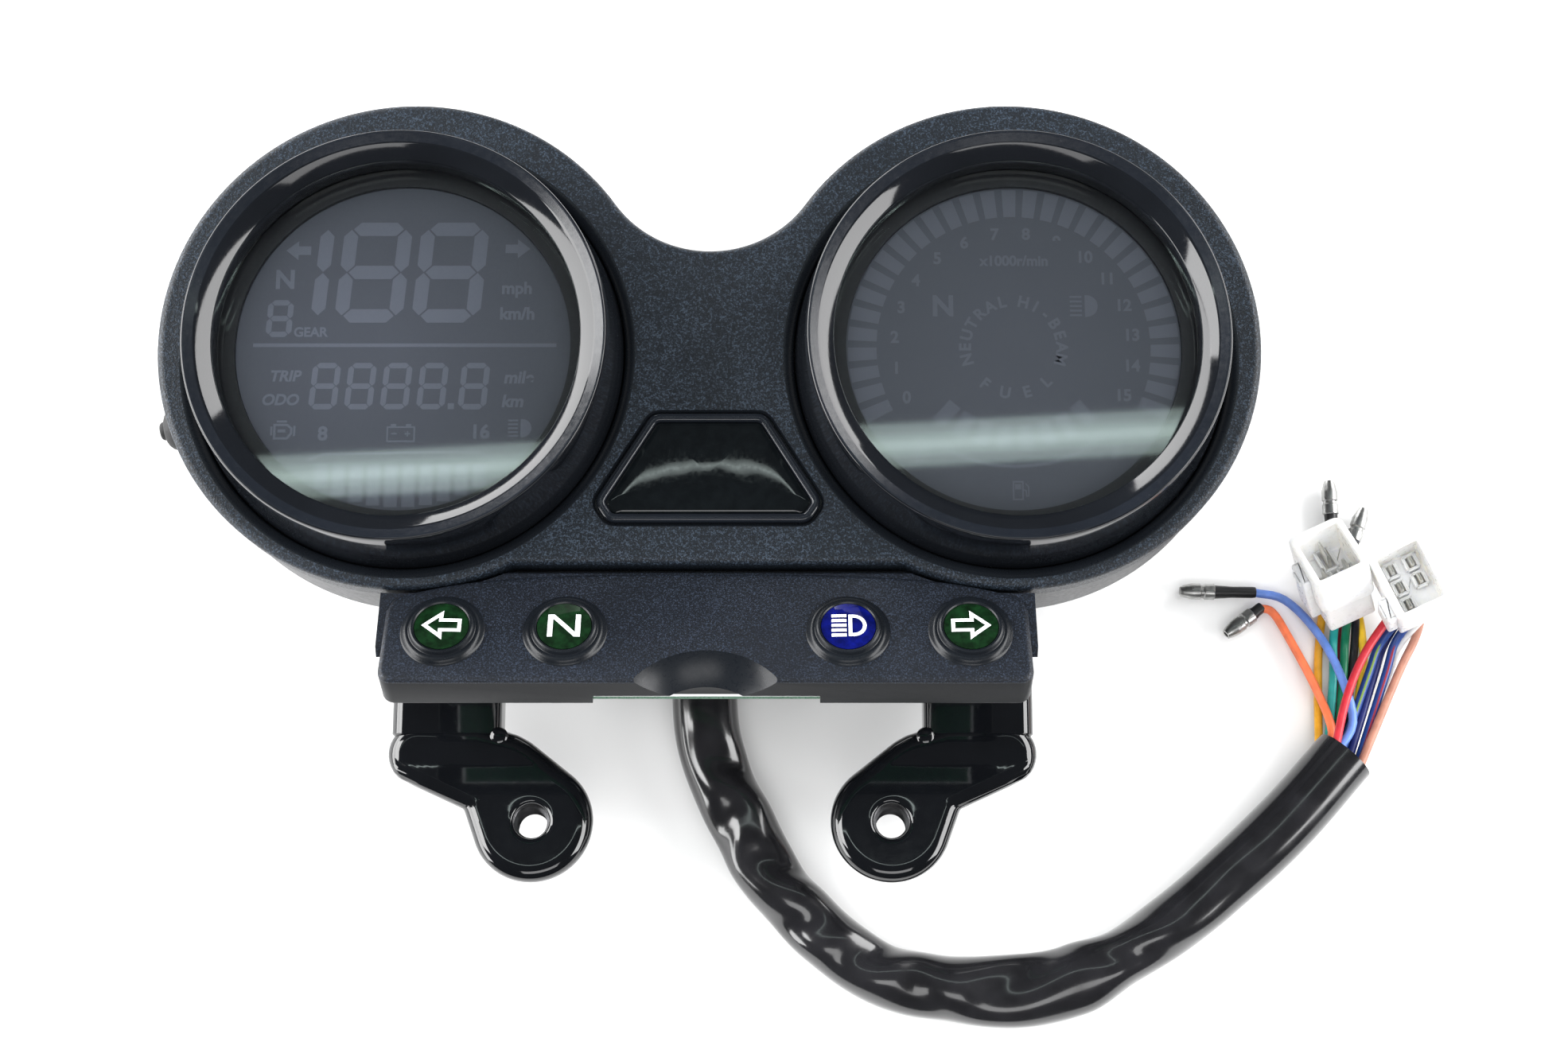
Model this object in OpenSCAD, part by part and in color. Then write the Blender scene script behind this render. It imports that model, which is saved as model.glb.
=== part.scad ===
// Twin-gauge motorcycle instrument cluster with LCD dials, an indicator panel, a steel bracket and its harness.
// It lies on its back: +X to the right, +Y towards the top of the dials, +Z out of the dials towards the rider.

/* [Overall] */
// Height from the back of the pods to the top of the bezels
body_h = 80; // [79:0.5:84]
// Distance between the centres of the two gauges
gauge_pitch = 130; // [129:0.5:132]

/* [Cowl and rear housing] */
// Radius of each round end of the cowl
lobe_r = 54.3; // [54:0.1:55.5]
// How far the round ends sit above the gauge centres
lobe_rise = 3; // [2.5:0.1:3.5]
// Lowest point of the saddle between the gauges
saddle_y = 23.7; // [22:0.1:25]
// Wall thickness of the plastic shells
wall = 2.5; // [2.2:0.1:2.6]
// Radius of the round back of each pod
drum_r = 38; // [36:0.5:38]

/* [Gauges] */
// Outer radius of the bezel's top ring
bezel_r = 44.3; // [44:0.1:44.6]
// Radius of the window in the bezel
window_r = 39; // [38.5:0.1:39.5]
// Radius of the part of the display that shows
display_r = 35.7; // [34:0.1:36]

/* [Indicator panel] */
// Width of the panel
panel_w = 135; // [133:0.5:136]
// Length of the panel's face along its slope
panel_d = 27.2; // [27:0.1:28]
// Slope of the panel's face, lower edge nearest the rider
panel_tilt = 25.5; // [24:0.5:27]
// Distance between the two outer lamps
outer_lamp_pitch = 109.8; // [108:0.2:111]
// Distance between the two inner lamps
inner_lamp_pitch = 58.9; // [56:0.1:62]
// Radius of a lamp lens
lamp_r = 5.65; // [5:0.05:5.8]

/* [Bracket] */
// Distance between the two threaded holes
hole_pitch = 80; // [78:0.5:82]
// Minor radius of the M8 thread in the weld nuts
thread_r = 3.4; // [3.2:0.05:3.5]
// Thickness of the bracket's steel sheet
sheet = 2.5; // [2:0.1:3]
// Slope of the arms' ends
arm_tilt = 9.5; // [8:0.5:11]

/* [Mode button] */
// Radius of the mode button
button_r = 2.15; // [2:0.05:2.3]
// How far the mode button travels
button_travel = 1.5; // [1:0.1:2]

/* [Harness] */
// Diameter of the sleeve
sleeve_d = 14.2; // [13.5:0.1:14.6]
// Diameter of each wire
wire_d = 2; // [1.6:0.1:2]
// Diameter of the bullet terminals
bullet_d = 3.8; // [3.4:0.1:4]

/* [Hidden] */
$fn = 96;

// Plan positions are counted from the point midway between the gauges, and placed() shifts them so that
// the middle of the cluster's own box, without the harness, is at the origin.
half_pitch = gauge_pitch / 2;
button_turn = 10;
button_tip = lobe_r + 6.5;
button_z = body_h - 45;
arm_hole_y = -97.5;
arm_end_r = 13.5;
middle_x = (lobe_r - button_tip * cos(button_turn) - button_r * sin(button_turn)) / 2;
middle_y = (lobe_rise + lobe_r + arm_hole_y - arm_end_r) / 2;

// Heights above the surface that the cluster lies on
cowl_top = body_h - 18;
cowl_base = cowl_top - 8;
flange_base = body_h - 51;
lens_top = body_h - 8.6;
lens_base = lens_top - 2;
seal_base = lens_base - 1;
mask_base = seal_base - 1.2;
lcd_base = mask_base - 2.2;
board_top = body_h - 24;
board_base = board_top - 1.6;

// The saddle is a round arc that runs smoothly into both round ends
web_y = -46;
saddle_drop = lobe_r + lobe_rise - saddle_y;
saddle_cy = lobe_rise + (pow(half_pitch, 2) - pow(saddle_drop, 2)) / (2 * saddle_drop);
saddle_r = saddle_cy - saddle_y;
run_in = atan2(saddle_cy - lobe_rise, half_pitch);
chin_half_w = 62;
chin_top = body_h - 30;
screw_ring_r = 50.2;
screw_r = 1.5;
post_r = 2.7;

// Each gauge's barrel holds its lens, mask, display, light box and board, stacked along Z
barrel_r = bezel_r + 2.2;
barrel_bore_r = 42.6;
stack_r = barrel_bore_r - 0.2;
badge_floor = cowl_top - 1.2;
badge_corner_r = 2.5;

// The indicator panel's face slopes up from its upper edge to its lower edge
panel_top_y = web_y - 1.4;
panel_top_z = cowl_top - 2;
panel_wall = 8.9;
lamp_down = 15;
lamp_x = [-outer_lamp_pitch / 2, -inner_lamp_pitch / 2, inner_lamp_pitch / 2, outer_lamp_pitch / 2];
scoop_r = 22.7;
scoop_out = 11.9;

bracket_top = body_h - 54;
leg_x = 60;
crease_y = -85;
bolt_y = -54;
bolt_r = 3;
nut_h = 6.5;

gland = [-2, -13, flange_base - 2];
boot_l = 12;

// Each connector stands on its back end: [middle of the back, lean, azimuth of the lean, spin]
four_way = [[147.1, -45, 7.7], 33.9, 126.6, 75];
six_way = [[162.8, -43.7, 8.6], 14.3, 165, 38];
sleeve_z = sleeve_d / 2 + 0.1;
mouth = [146.3, -80.9, sleeve_z];
mouth_ahead = [0.635, 0.772, 0];
mouth_across = [0.772, -0.635, 0];

// Each bullet terminal: where its heat-shrink tube starts, where the metal starts, and a point it heads for
bullets = [
    [[127.7, -41.8, 2.2], [118.4, -41.7, 2.3], [109.8, -41.5, 2.3]],
    [[129.2, -45.6, 2.2], [127.2, -47.2, 2.4], [120.6, -52.1, 3]],
    [[147, -31, 2.4], [147, -22.9, 2.6], [146.9, -14.9, 2.9]],
    [[150.6, -35, 2.4], [152, -29.2, 2.6], [154.7, -22.1, 2.9]]];
shrink_r = 1.35;

module placed() {
    translate([-middle_x, -middle_y, 0]) children();
}

module at_gauge(side) {
    placed() translate([side * half_pitch, 0, 0]) children();
}

module for_both_sides() {
    for (side = [-1, 1]) scale([side, 1, 1]) children();
}

// --- Plans and skins ---

function arc(centre, r, from, to, steps) =
    [for (i = [0 : steps]) let (a = from + (to - from) * i / steps) centre + r * [cos(a), sin(a)]];

// Outline of the cowl, drawn in by inset
function cowl_outline(inset) =
    let (r = lobe_r - inset, corner = asin((lobe_rise - web_y - inset) / r))
    concat(
        arc([half_pitch, lobe_rise], r, 180 + corner, 540 - run_in, 40),
        arc([0, saddle_cy], saddle_r + inset, -run_in - 4, run_in - 176, 12),
        arc([-half_pitch, lobe_rise], r, run_in, 360 - corner, 40));

function ring_faces(n, rings) =
    [for (k = [0 : rings - 2]) for (i = [0 : n - 1]) for (half = [0, 1])
        let (a = k * n + i, b = k * n + (i + 1) % n)
        half == 0 ? [a, a + n, b + n] : [a, b + n, b]];

// A closed skin through rings of n points each, counter-clockwise seen from the last ring
module skin(points, n) {
    rings = len(points) / n;
    first_cap = [for (i = [0 : n - 1]) i];
    last_cap = [for (i = [n - 1 : -1 : 0]) (rings - 1) * n + i];
    polyhedron(points, concat([first_cap], ring_faces(n, rings), [last_cap]), convexity = 10);
}

// The cowl's outline, drawn in by inset, as an upright block
module cowl_block(inset, base, top) {
    translate([0, 0, base]) linear_extrude(top - base) polygon(cowl_outline(inset));
}

// A bar along X with the given cross-section in Y and Z
module bar_along_x(half_length, section) {
    translate([-half_length, 0, 0])
        rotate([90, 0, 90])
            linear_extrude(2 * half_length)
                polygon(section);
}

// --- Cowl and rear housing ---

module at_case_screws() {
    for_both_sides() {
        for (a = [60, 120])
            translate([half_pitch + screw_ring_r * cos(a), lobe_rise + screw_ring_r * sin(a), 0]) children();
        translate([12, 13, 0]) children();
    }
}

module badge_plan(grow) {
    offset(r = badge_corner_r + grow, $fn = 32)
        offset(delta = -badge_corner_r)
            polygon([[-12.1, -13.2], [12.1, -13.2], [24.4, -32.6], [21.4, -37], [-21.4, -37], [-24.4, -32.6]]);
}

module front_cowl() {
    color("DimGray") placed() difference() {
        union() {
            difference() {
                union() {
                    cowl_block(0, cowl_base, cowl_top - 1.2);
                    cowl_block(0.4, cowl_base + 1, cowl_top - 0.5);
                    cowl_block(1.2, cowl_base + 2, cowl_top);
                }
                cowl_block(wall, cowl_base - 1, cowl_top - wall);
            }
            at_case_screws() translate([0, 0, cowl_base]) cylinder(r = post_r, h = 7);
        }
        for (side = [-1, 1])
            translate([side * half_pitch, 0, cowl_base - 1]) cylinder(r = barrel_r + 0.3, h = 12);
        translate([0, 0, badge_floor]) linear_extrude(5) badge_plan(0.25);
        at_case_screws() translate([0, 0, cowl_base - 3]) cylinder(r = screw_r, h = 8);
    }
}

module rear_tray() {
    difference() {
        cowl_block(0.3, flange_base, cowl_base);
        cowl_block(wall + 0.3, flange_base + wall, cowl_base + 1);
    }
}

module chin() {
    difference() {
        bar_along_x(chin_half_w, [[-45.9, flange_base], [-64, flange_base], [-68.5, flange_base + 5],
            [-68.5, chin_top + 6.2], [-56, chin_top], [-45.9, chin_top]]);
        bar_along_x(chin_half_w - wall, [[-47, flange_base + wall], [-63, flange_base + wall],
            [-66, flange_base + 6], [-66, flange_base + 30], [-47, flange_base + 30]]);
    }
}

module rear_housing() {
    color("DarkSlateGray") placed() difference() {
        union() {
            difference() {
                union() {
                    rear_tray();
                    for (side = [-1, 1])
                        translate([side * half_pitch, 0, 0]) cylinder(r = drum_r, h = flange_base + wall);
                    at_gland() translate([0, 0, -9]) cylinder(r = 11.5, h = 9);
                }
                for (side = [-1, 1])
                    translate([side * half_pitch, 0, wall]) cylinder(r = drum_r - wall, h = flange_base + wall);
            }
            chin();
            at_case_screws() translate([0, 0, flange_base + 1]) cylinder(r = post_r, h = cowl_base - 1 - flange_base);
            at_bracket_bolts() translate([0, 0, flange_base]) cylinder(r = 6, h = 11);
            at_button() translate([0, 0, 38]) cylinder(r = 7.6, h = 14.6);
        }
        at_gland() translate([0, 0, -20]) cylinder(r = 8.6, h = 25);
        at_gland() cylinder(r = 11, h = 20);
        at_case_screws() translate([0, 0, flange_base - 1]) cylinder(r = screw_r, h = 30);
        at_bracket_bolts() translate([0, 0, flange_base - 1]) cylinder(r = bolt_r, h = 10);
        at_button() translate([0, 0, 40.5]) cylinder(r = 5.55, h = 30);
        translate([-9, -50, flange_base + 8]) cube([18, 10, 7]);
    }
}

module case_screws() {
    color("Silver") placed() at_case_screws() {
        translate([0, 0, flange_base - 2.2]) cylinder(r = 2.8, h = 2.2);
        translate([0, 0, flange_base - 2.2]) cylinder(r = screw_r - 0.05, h = cowl_base - flange_base + 6);
    }
}

// --- Gauges ---

module bezel() {
    rotate_extrude() polygon([
        [bezel_r + 3.7, body_h - 23.1], [bezel_r + 3.7, cowl_top - wall - 0.3], [barrel_r, cowl_top - wall - 0.3],
        [barrel_r - 0.1, cowl_top - 2], [barrel_r - 1, cowl_top + 6], [bezel_r + 0.4, body_h - 4],
        [bezel_r + 0.1, body_h - 1.6], [bezel_r - 0.5, body_h - 0.4], [bezel_r - 1.2, body_h],
        [bezel_r - 2.2, body_h], [bezel_r - 2.9, body_h - 0.4], [window_r + 0.4, body_h - 6.6],
        [window_r, body_h - 7], [window_r, lens_top + 0.1], [barrel_bore_r, lens_top + 0.1],
        [barrel_bore_r, body_h - 24], [bezel_r + 0.1, body_h - 24], [bezel_r + 0.1, body_h - 23.1]]);
}

module flat_ring(outer, inner, base, top) {
    translate([0, 0, base]) difference() {
        cylinder(r = outer, h = top - base);
        translate([0, 0, -1]) cylinder(r = inner, h = top - base + 2);
    }
}

module bezel_left() {
    color("Black") at_gauge(-1) bezel();
}

module bezel_right() {
    color("Black") at_gauge(1) bezel();
}

module lens() {
    translate([0, 0, lens_base]) cylinder(r = stack_r, h = lens_top - lens_base);
}

module lens_left() {
    color("LightSteelBlue", 0.4) at_gauge(-1) lens();
}

module lens_right() {
    color("LightSteelBlue", 0.4) at_gauge(1) lens();
}

module lens_seals() {
    color("Black") for (side = [-1, 1]) at_gauge(side) flat_ring(stack_r, window_r + 0.5, seal_base, lens_base);
}

module dial_mask() {
    flat_ring(stack_r, display_r, mask_base, seal_base);
}

module dial_mask_left() {
    color("DimGray") at_gauge(-1) dial_mask();
}

module dial_mask_right() {
    color("DimGray") at_gauge(1) dial_mask();
}

module lcd() {
    translate([0, 0, lcd_base]) cylinder(r = 38, h = mask_base - lcd_base);
}

module lcd_left() {
    color("DarkGreen") at_gauge(-1) lcd();
}

module lcd_right() {
    color("DarkGreen") at_gauge(1) lcd();
}

// A shallow light box: a diffuser plate on a skirt that stands on the circuit board
module backlight() {
    translate([0, 0, board_top]) difference() {
        cylinder(r = 39, h = lcd_base - board_top);
        translate([0, 0, -1]) cylinder(r = 37, h = lcd_base - board_top - 1.5);
    }
}

module backlight_left() {
    color("White") at_gauge(-1) backlight();
}

module backlight_right() {
    color("White") at_gauge(1) backlight();
}

// The barrel stands on the rim of the board
module circuit_board() {
    difference() {
        translate([0, 0, board_base]) cylinder(r = 46, h = board_top - board_base);
        for (a = [30 : 60 : 330])
            rotate([0, 0, a]) translate([40.5, 0, board_base - 1]) cylinder(r = 1.2, h = 4);
    }
}

module circuit_board_left() {
    color("SeaGreen") at_gauge(-1) circuit_board();
}

module circuit_board_right() {
    color("SeaGreen") at_gauge(1) circuit_board();
}

// --- Indicator panel ---

// On the panel's sloping face: X across, Y up the slope, Z out of the face, zero at the face's upper edge
module on_panel() {
    placed() translate([0, panel_top_y, panel_top_z]) rotate([-panel_tilt, 0, 0]) children();
}

module at_lamps() {
    for (x = lamp_x) translate([x, -lamp_down, 0]) children();
}

// The face: its upper edge is an arch, its lower corners are round
function face_outline(inset) =
    let (w = panel_w / 2 - inset, d = panel_d - inset)
    concat(
        [[-w + 0.2, -9 - inset / 2], [-64.6 + inset / 2, -5.8 - inset], [-51.5, -2.4 - inset], [-37, -0.8 - inset],
            [-18, -inset], [18, -inset], [37, -0.8 - inset], [51.5, -2.4 - inset],
            [64.6 - inset / 2, -5.8 - inset], [w - 0.2, -9 - inset / 2]],
        arc([w - 2.6, -d + 2.6], 2.6, 0, -90, 6),
        arc([-w + 2.6, -d + 2.6], 2.6, -90, -180, 6));

module face_slab(inset, base, top) {
    translate([0, 0, base]) linear_extrude(top - base) polygon(face_outline(inset));
}

// The textured neck between the cowl's lower edge and the face
module panel_neck(inset) {
    difference() {
        bar_along_x(panel_w / 2 + 1.5 - inset, [
            [web_y - 1.2 - inset, panel_top_z - 8.5 - inset], [web_y - 1.2 - inset, panel_top_z - 0.6 - inset],
            [web_y - 2.2, panel_top_z - inset], [-54, panel_top_z + 2 - inset], [-64, panel_top_z + 5.4 - inset],
            [-66, panel_top_z + 4 - inset], [-64, panel_top_z - 1 - inset], [-57, panel_top_z - 8.5 - inset]]);
        for (side = [-1, 1])
            translate([side * half_pitch, lobe_rise, 0]) cylinder(r = lobe_r + 0.6 + inset, h = body_h);
    }
}

module panel_body() {
    on_panel() face_slab(0, -panel_wall, 0);
    placed() panel_neck(0);
}

module panel_hollow() {
    on_panel() face_slab(2.2, -panel_wall - 6, -2.2);
    placed() panel_neck(2.2);
}

module scoop_ball(grow) {
    on_panel() translate([0, -panel_d - scoop_out, scoop_out]) sphere(r = scoop_r + grow);
}

module lamp_boss() {
    rotate_extrude() polygon([
        [lamp_r + 0.1, -1], [8.25, -1], [8.25, 0.1], [7.9, 0.9], [7.2, 1.4], [6.5, 1.7],
        [lamp_r + 0.3, 1.7], [lamp_r + 0.1, 1.5]]);
}

module indicator_panel() {
    color("DimGray") difference() {
        union() {
            difference() {
                panel_body();
                difference() {
                    panel_hollow();
                    scoop_ball(2.2);
                }
            }
            on_panel() at_lamps() lamp_boss();
        }
        scoop_ball(0);
        on_panel() at_lamps() translate([0, 0, -4]) cylinder(r = lamp_r + 0.1, h = 8);
        on_panel() translate([-23.6, -panel_d - 1, -panel_wall - 1]) cube([47.2, 4, 4]);
    }
}

// White box under the face, with a well for each lamp
module lamp_housing() {
    color("White") on_panel() difference() {
        translate([-61, -24.4, -10.4]) cube([122, 15.4, 7]);
        at_lamps() translate([0, 0, -12]) cylinder(r = 4.8, h = 10);
        translate([0, -panel_d - scoop_out, scoop_out]) sphere(r = scoop_r + 2.5);
    }
}

module indicator_board() {
    color("SeaGreen") on_panel() translate([-60, -24, -12]) cube([120, 14.6, 1.6]);
}

module indicator_leds() {
    color("Ivory") on_panel() at_lamps() translate([-1.7, -1.5, -10.4]) cube([3.4, 3, 1.6]);
}

// A clear disc with a low dome and a lip under the panel
module lamp_lens() {
    rotate_extrude() polygon([
        [0, -3.4], [6.4, -3.4], [6.4, -2.4], [lamp_r, -2.4], [lamp_r, 1.7], [lamp_r - 0.4, 2.1], [3.4, 2.5], [0, 2.6]]);
}

module lamp_lens_at(index) {
    on_panel() translate([lamp_x[index], -lamp_down, 0]) lamp_lens();
}

module turn_left_lens() {
    color("DarkKhaki") lamp_lens_at(0);
}

module neutral_lens() {
    color("DarkSeaGreen") lamp_lens_at(1);
}

module high_beam_lens() {
    color("SlateBlue") lamp_lens_at(2);
}

module turn_right_lens() {
    color("DarkKhaki") lamp_lens_at(3);
}

// --- Badge ---

module badge_frame() {
    color("Black") placed() translate([0, 0, badge_floor]) difference() {
        linear_extrude(2) badge_plan(0);
        translate([0, 0, 0.8]) linear_extrude(3) badge_plan(-2);
    }
}

module badge_dome() {
    color("DarkSlateBlue") placed() translate([0, 0, badge_floor + 0.8]) {
        linear_extrude(1.2) badge_plan(-2.1);
        translate([0, 0, 1.2]) linear_extrude(0.4) badge_plan(-3);
    }
}

// --- Bracket ---

module at_bracket_bolts() {
    for (x = [-58, 0, 58]) translate([x, bolt_y, 0]) children();
}

// A channel along Y, open downwards, with rounded bends; outer size w by h
module channel(w, h, r, length) {
    section = concat(
        [[-w / 2, -h]], arc([-w / 2 + r, -r], r, 180, 90, 6), arc([w / 2 - r, -r], r, 90, 0, 6), [[w / 2, -h]],
        [[w / 2 - sheet, -h]], arc([w / 2 - r, -r], r - sheet, 0, 90, 6),
        arc([-w / 2 + r, -r], r - sheet, 90, 180, 6), [[-w / 2 + sheet, -h]]);
    rotate([90, 0, 0]) linear_extrude(length) polygon(section);
}

module bracket_crossbar() {
    color("Black") placed() translate([0, 0, bracket_top]) difference() {
        union() {
            translate([-half_pitch + 5, -62, -sheet]) cube([gauge_pitch - 10, 20, sheet]);
            for_both_sides() translate([leg_x, -41.9, 0]) channel(24.7, 9, 3.6, 36.3);
        }
        translate([0, 0, -10]) at_bracket_bolts() cylinder(r = 5, h = 20);
    }
}

// The pressed arm carries the threaded hole at its end; its rim is rolled down all round
module arm_disc(place, r) {
    translate([place.x, place.y, bracket_top + arm_rise(place.y)])
        rotate([-arm_slope(place.y), 0, 0])
            translate([0, 0, -4]) cylinder(r1 = r, r2 = r - 3.6, h = 4, $fn = 32);
}

function arm_rise(y) = max(0, crease_y - y) * tan(arm_tilt);
function arm_slope(y) = y < crease_y ? arm_tilt : 0;

module arm_solid(shrink) {
    hull() {
        arm_disc([66, -82.2], 7 - shrink);
        arm_disc([53.6, -82], 6.6 - shrink);
        arm_disc([47.6, -87.3], 10 - shrink);
    }
    hull() {
        arm_disc([46.8, -88.2], 10.4 - shrink);
        arm_disc([hole_pitch / 2, arm_hole_y], arm_end_r - shrink);
    }
}

module at_thread() {
    translate([hole_pitch / 2, arm_hole_y, bracket_top + arm_rise(arm_hole_y)]) rotate([-arm_tilt, 0, 0]) children();
}

module bracket_arm() {
    difference() {
        arm_solid(0);
        translate([0, 0, -1.9]) arm_solid(1.2);
        at_thread() translate([0, 0, -5]) cylinder(r = 4.2, h = 10);
        translate([40, -78.3, 0]) cube([40, 20, 60]);
    }
}

module bracket_arm_left() {
    color("Black") placed() mirror([1, 0, 0]) bracket_arm();
}

module bracket_arm_right() {
    color("Black") placed() bracket_arm();
}

module weld_nuts() {
    color("Gray") placed() for_both_sides() at_thread() translate([0, 0, -1.9 - nut_h]) difference() {
        cylinder(r = 7.5, h = nut_h, $fn = 6);
        translate([0, 0, -1]) cylinder(r = thread_r, h = nut_h + 2);
    }
}

module bracket_grommets() {
    color("Black") placed() at_bracket_bolts() {
        flat_ring(8, bolt_r + 0.1, bracket_top, flange_base);
        flat_ring(4.9, bolt_r + 0.1, bracket_top - sheet, bracket_top);
    }
}

module bracket_bolts() {
    color("Silver") placed() at_bracket_bolts() {
        translate([0, 0, bracket_top - sheet - 1.5]) cylinder(r = 7, h = 1.5);
        translate([0, 0, bracket_top - sheet - 4.5]) cylinder(r = 5.2, h = 3.1);
        translate([0, 0, bracket_top - sheet - 1]) cylinder(r = bolt_r - 0.05, h = sheet + 1 + flange_base - bracket_top + 8);
    }
}

// --- Mode button, on the side of the left pod ---

module at_button() {
    translate([-half_pitch, 0, button_z]) rotate([0, 0, 180 + button_turn]) rotate([0, 90, 0]) children();
}

module button_bushing() {
    color("Black") placed() at_button() rotate_extrude() polygon([
        [button_r + 0.35, 51.4], [5.5, 51.4], [5.5, 54.6], [5.4, 56], [4.9, 57.6], [4.1, 58.9], [3.2, 59.5],
        [button_r + 0.35, 59.5]]);
}

module mode_button() {
    color("Black") placed() at_button() rotate_extrude() polygon([
        [0, 46.4], [1.2, 46.4], [1.2, 49.4], [3.6, 49.4], [3.6, 51], [button_r, 51], [button_r, button_tip - 0.5],
        [button_r - 0.5, button_tip], [0, button_tip]]);
}

module mode_switch() {
    color("DimGray") placed() at_button() difference() {
        union() {
            translate([0, 0, 40.5]) cylinder(r = 5.5, h = 1.6);
            translate([-3.2, -3.2, 42]) cube([6.4, 6.4, 5.4]);
        }
        translate([0, 0, 44]) cylinder(r = 1.55, h = 4);
    }
}

// --- Harness ---

module at_gland() {
    translate(gland) rotate([135, 0, 0]) children();
}

module cable_grommet() {
    color("Black") placed() at_gland() rotate_extrude() polygon([
        [5.6, -8], [8.5, -8], [8.5, 0], [10.8, 0], [10.8, 2.4], [9.4, 2.8], [8.2, boot_l], [5.6, boot_l]]);
}

function unit(v) = v / norm(v);

function heading(path, i) = unit(path[min(i + 1, len(path) - 1)] - path[max(i - 1, 0)]);

// A sideways direction at each point, carried along the path without twisting
function sideways(path, last, i = 0) =
    i == len(path) ? [] :
    let (t = heading(path, i), s = unit(last - (last * t) * t))
    concat([s], sideways(path, s, i + 1));

module cord(path, d, n) {
    sides = sideways(path, [0.3, 0.1, 1]);
    points = [for (i = [0 : len(path) - 1])
        let (s = sides[i], u = cross(heading(path, i), s))
        for (k = [0 : n - 1]) path[i] + d / 2 * (cos(360 * k / n) * s + sin(360 * k / n) * u)];
    placed() skin(points, n);
}

function about_z(v, a) = [v.x * cos(a) - v.y * sin(a), v.x * sin(a) + v.y * cos(a), v.z];
function about_y(v, a) = [v.x * cos(a) + v.z * sin(a), v.y, v.z * cos(a) - v.x * sin(a)];

// A point given in a connector's own axes; a connector is [back centre, lean, azimuth, spin]
function in_plug(plug, v) = plug[0] + about_z(about_y(about_z(v, plug[3]), plug[1]), plug[2]);

module at_plug(plug) {
    placed() translate(plug[0]) rotate([0, 0, plug[2]]) rotate([0, plug[1], 0]) rotate([0, 0, plug[3]]) children();
}

module wire(start, bends, end) {
    cord(concat([start], bends, [end]), wire_d, 8);
}

module block(w, d, base, top) {
    translate([-w / 2, -d / 2, base]) cube([w, d, top - base]);
}

module connector_four_way() {
    color("WhiteSmoke") at_plug(four_way) difference() {
        union() {
            block(11.4, 13.6, 0, 9.5);
            block(13.4, 16.4, 9, 20.2);
            translate([6, -3, 4]) cube([2.4, 7, 13.4]);
        }
        block(10.8, 13.8, 11, 21);
    }
}

module connector_six_way() {
    color("WhiteSmoke") at_plug(six_way) difference() {
        union() {
            block(11.6, 15, 0, 9.5);
            block(13.5, 17.4, 9, 20);
            translate([6, 1, 5]) cube([2.6, 6, 12]);
        }
        block(10.9, 14.8, 11, 21);
    }
}

module blade(w, d, base, top) {
    block(d, w, base, top);
}

module blade_terminals_four_way() {
    color("Silver") at_plug(four_way) for (at = [[2.6, 3.6], [-2.6, 3.6], [0, -3.4]])
        translate([at.x, at.y, 0]) blade(5, 0.8, 11, 17);
}

module blade_terminals_six_way() {
    color("Silver") at_plug(six_way) for (at = [[2.4, -4.4], [2.4, 0], [2.4, 4.4], [-2.4, -4.4], [-2.4, 0]])
        translate([at.x, at.y, 0]) blade(2.2, 0.8, 11, 15);
}

module along(from, to) {
    v = to - from;
    placed() translate(from) rotate([0, acos(v.z / norm(v)), atan2(v.y, v.x)]) children();
}

module bullet_terminals() {
    color("Silver") for (b = bullets) along(b[1], b[2]) difference() {
        rotate_extrude() polygon([
            [0, 0], [bullet_d / 2, 0], [bullet_d / 2, 5.2], [bullet_d / 2 - 0.9, 8.2], [0, 8.2]]);
        translate([0, 0, 6]) cylinder(r = 0.7, h = 4);
    }
}

module heat_shrink_tubes() {
    color("Black") for (b = bullets) along(b[0], b[1]) cylinder(r = shrink_r, h = norm(b[1] - b[0]));
}

module harness_sleeve() {
    color("Black") cord([gland + boot_l * [0, -sin(45), -cos(45)], [-2, -28, 15.6], [-2.3, -37.5, 9.4],
        [-2.6, -48.3, sleeve_z], [-2.5, -62, sleeve_z], [-1.4, -77.3, sleeve_z], [4.1, -92.1, sleeve_z],
        [11.8, -106.6, sleeve_z], [21, -118, sleeve_z], [33, -127.8, sleeve_z], [44.1, -132.6, sleeve_z],
        [58.5, -134.4, sleeve_z], [73, -134, sleeve_z], [87.6, -129.8, sleeve_z], [102.4, -121.2, sleeve_z],
        [117.4, -109.5, sleeve_z], [132.7, -95.6, sleeve_z], mouth], sleeve_d, 12);
}

// Where a wire starts inside the sleeve, counted across and up from the middle of the mouth
function in_sleeve(across, up) = mouth - 3 * mouth_ahead + across * mouth_across + [0, 0, up];

module wire_orange() {
    color("Coral") wire(in_sleeve(-4.6, 0.2), [[143.6, -75.5, 7.3], [141.2, -65.2, 4], [135.4, -52.3, 2.5],
        [132.1, -46.6, 2.2]], bullets[1][0]);
}

module wire_light_blue() {
    color("CornflowerBlue") wire(in_sleeve(-2.3, 2.3), [[148.1, -73.6, 9.1], [146.2, -61.5, 6.4],
        [141.9, -51.2, 3.4], [135.1, -43.6, 2.2]], bullets[0][0]);
}

module wire_amber() {
    color("Goldenrod") wire(in_sleeve(-4.6, -2.1), [[142.2, -65, 1.4], [143.3, -52, 1.2]], bullets[2][0]);
}

module wire_maroon() {
    color("Maroon") wire(in_sleeve(0, -4.4), [[147.6, -62, 1.2], [148.6, -52, 1.2]], bullets[3][0]);
}

module wire_teal() {
    color("CadetBlue") wire(in_sleeve(-2.3, -2.1), [[145.3, -63, 3.6], [145.9, -54, 3.2]],
        in_plug(four_way, [2.2, 2.6, 1.5]));
}

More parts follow.
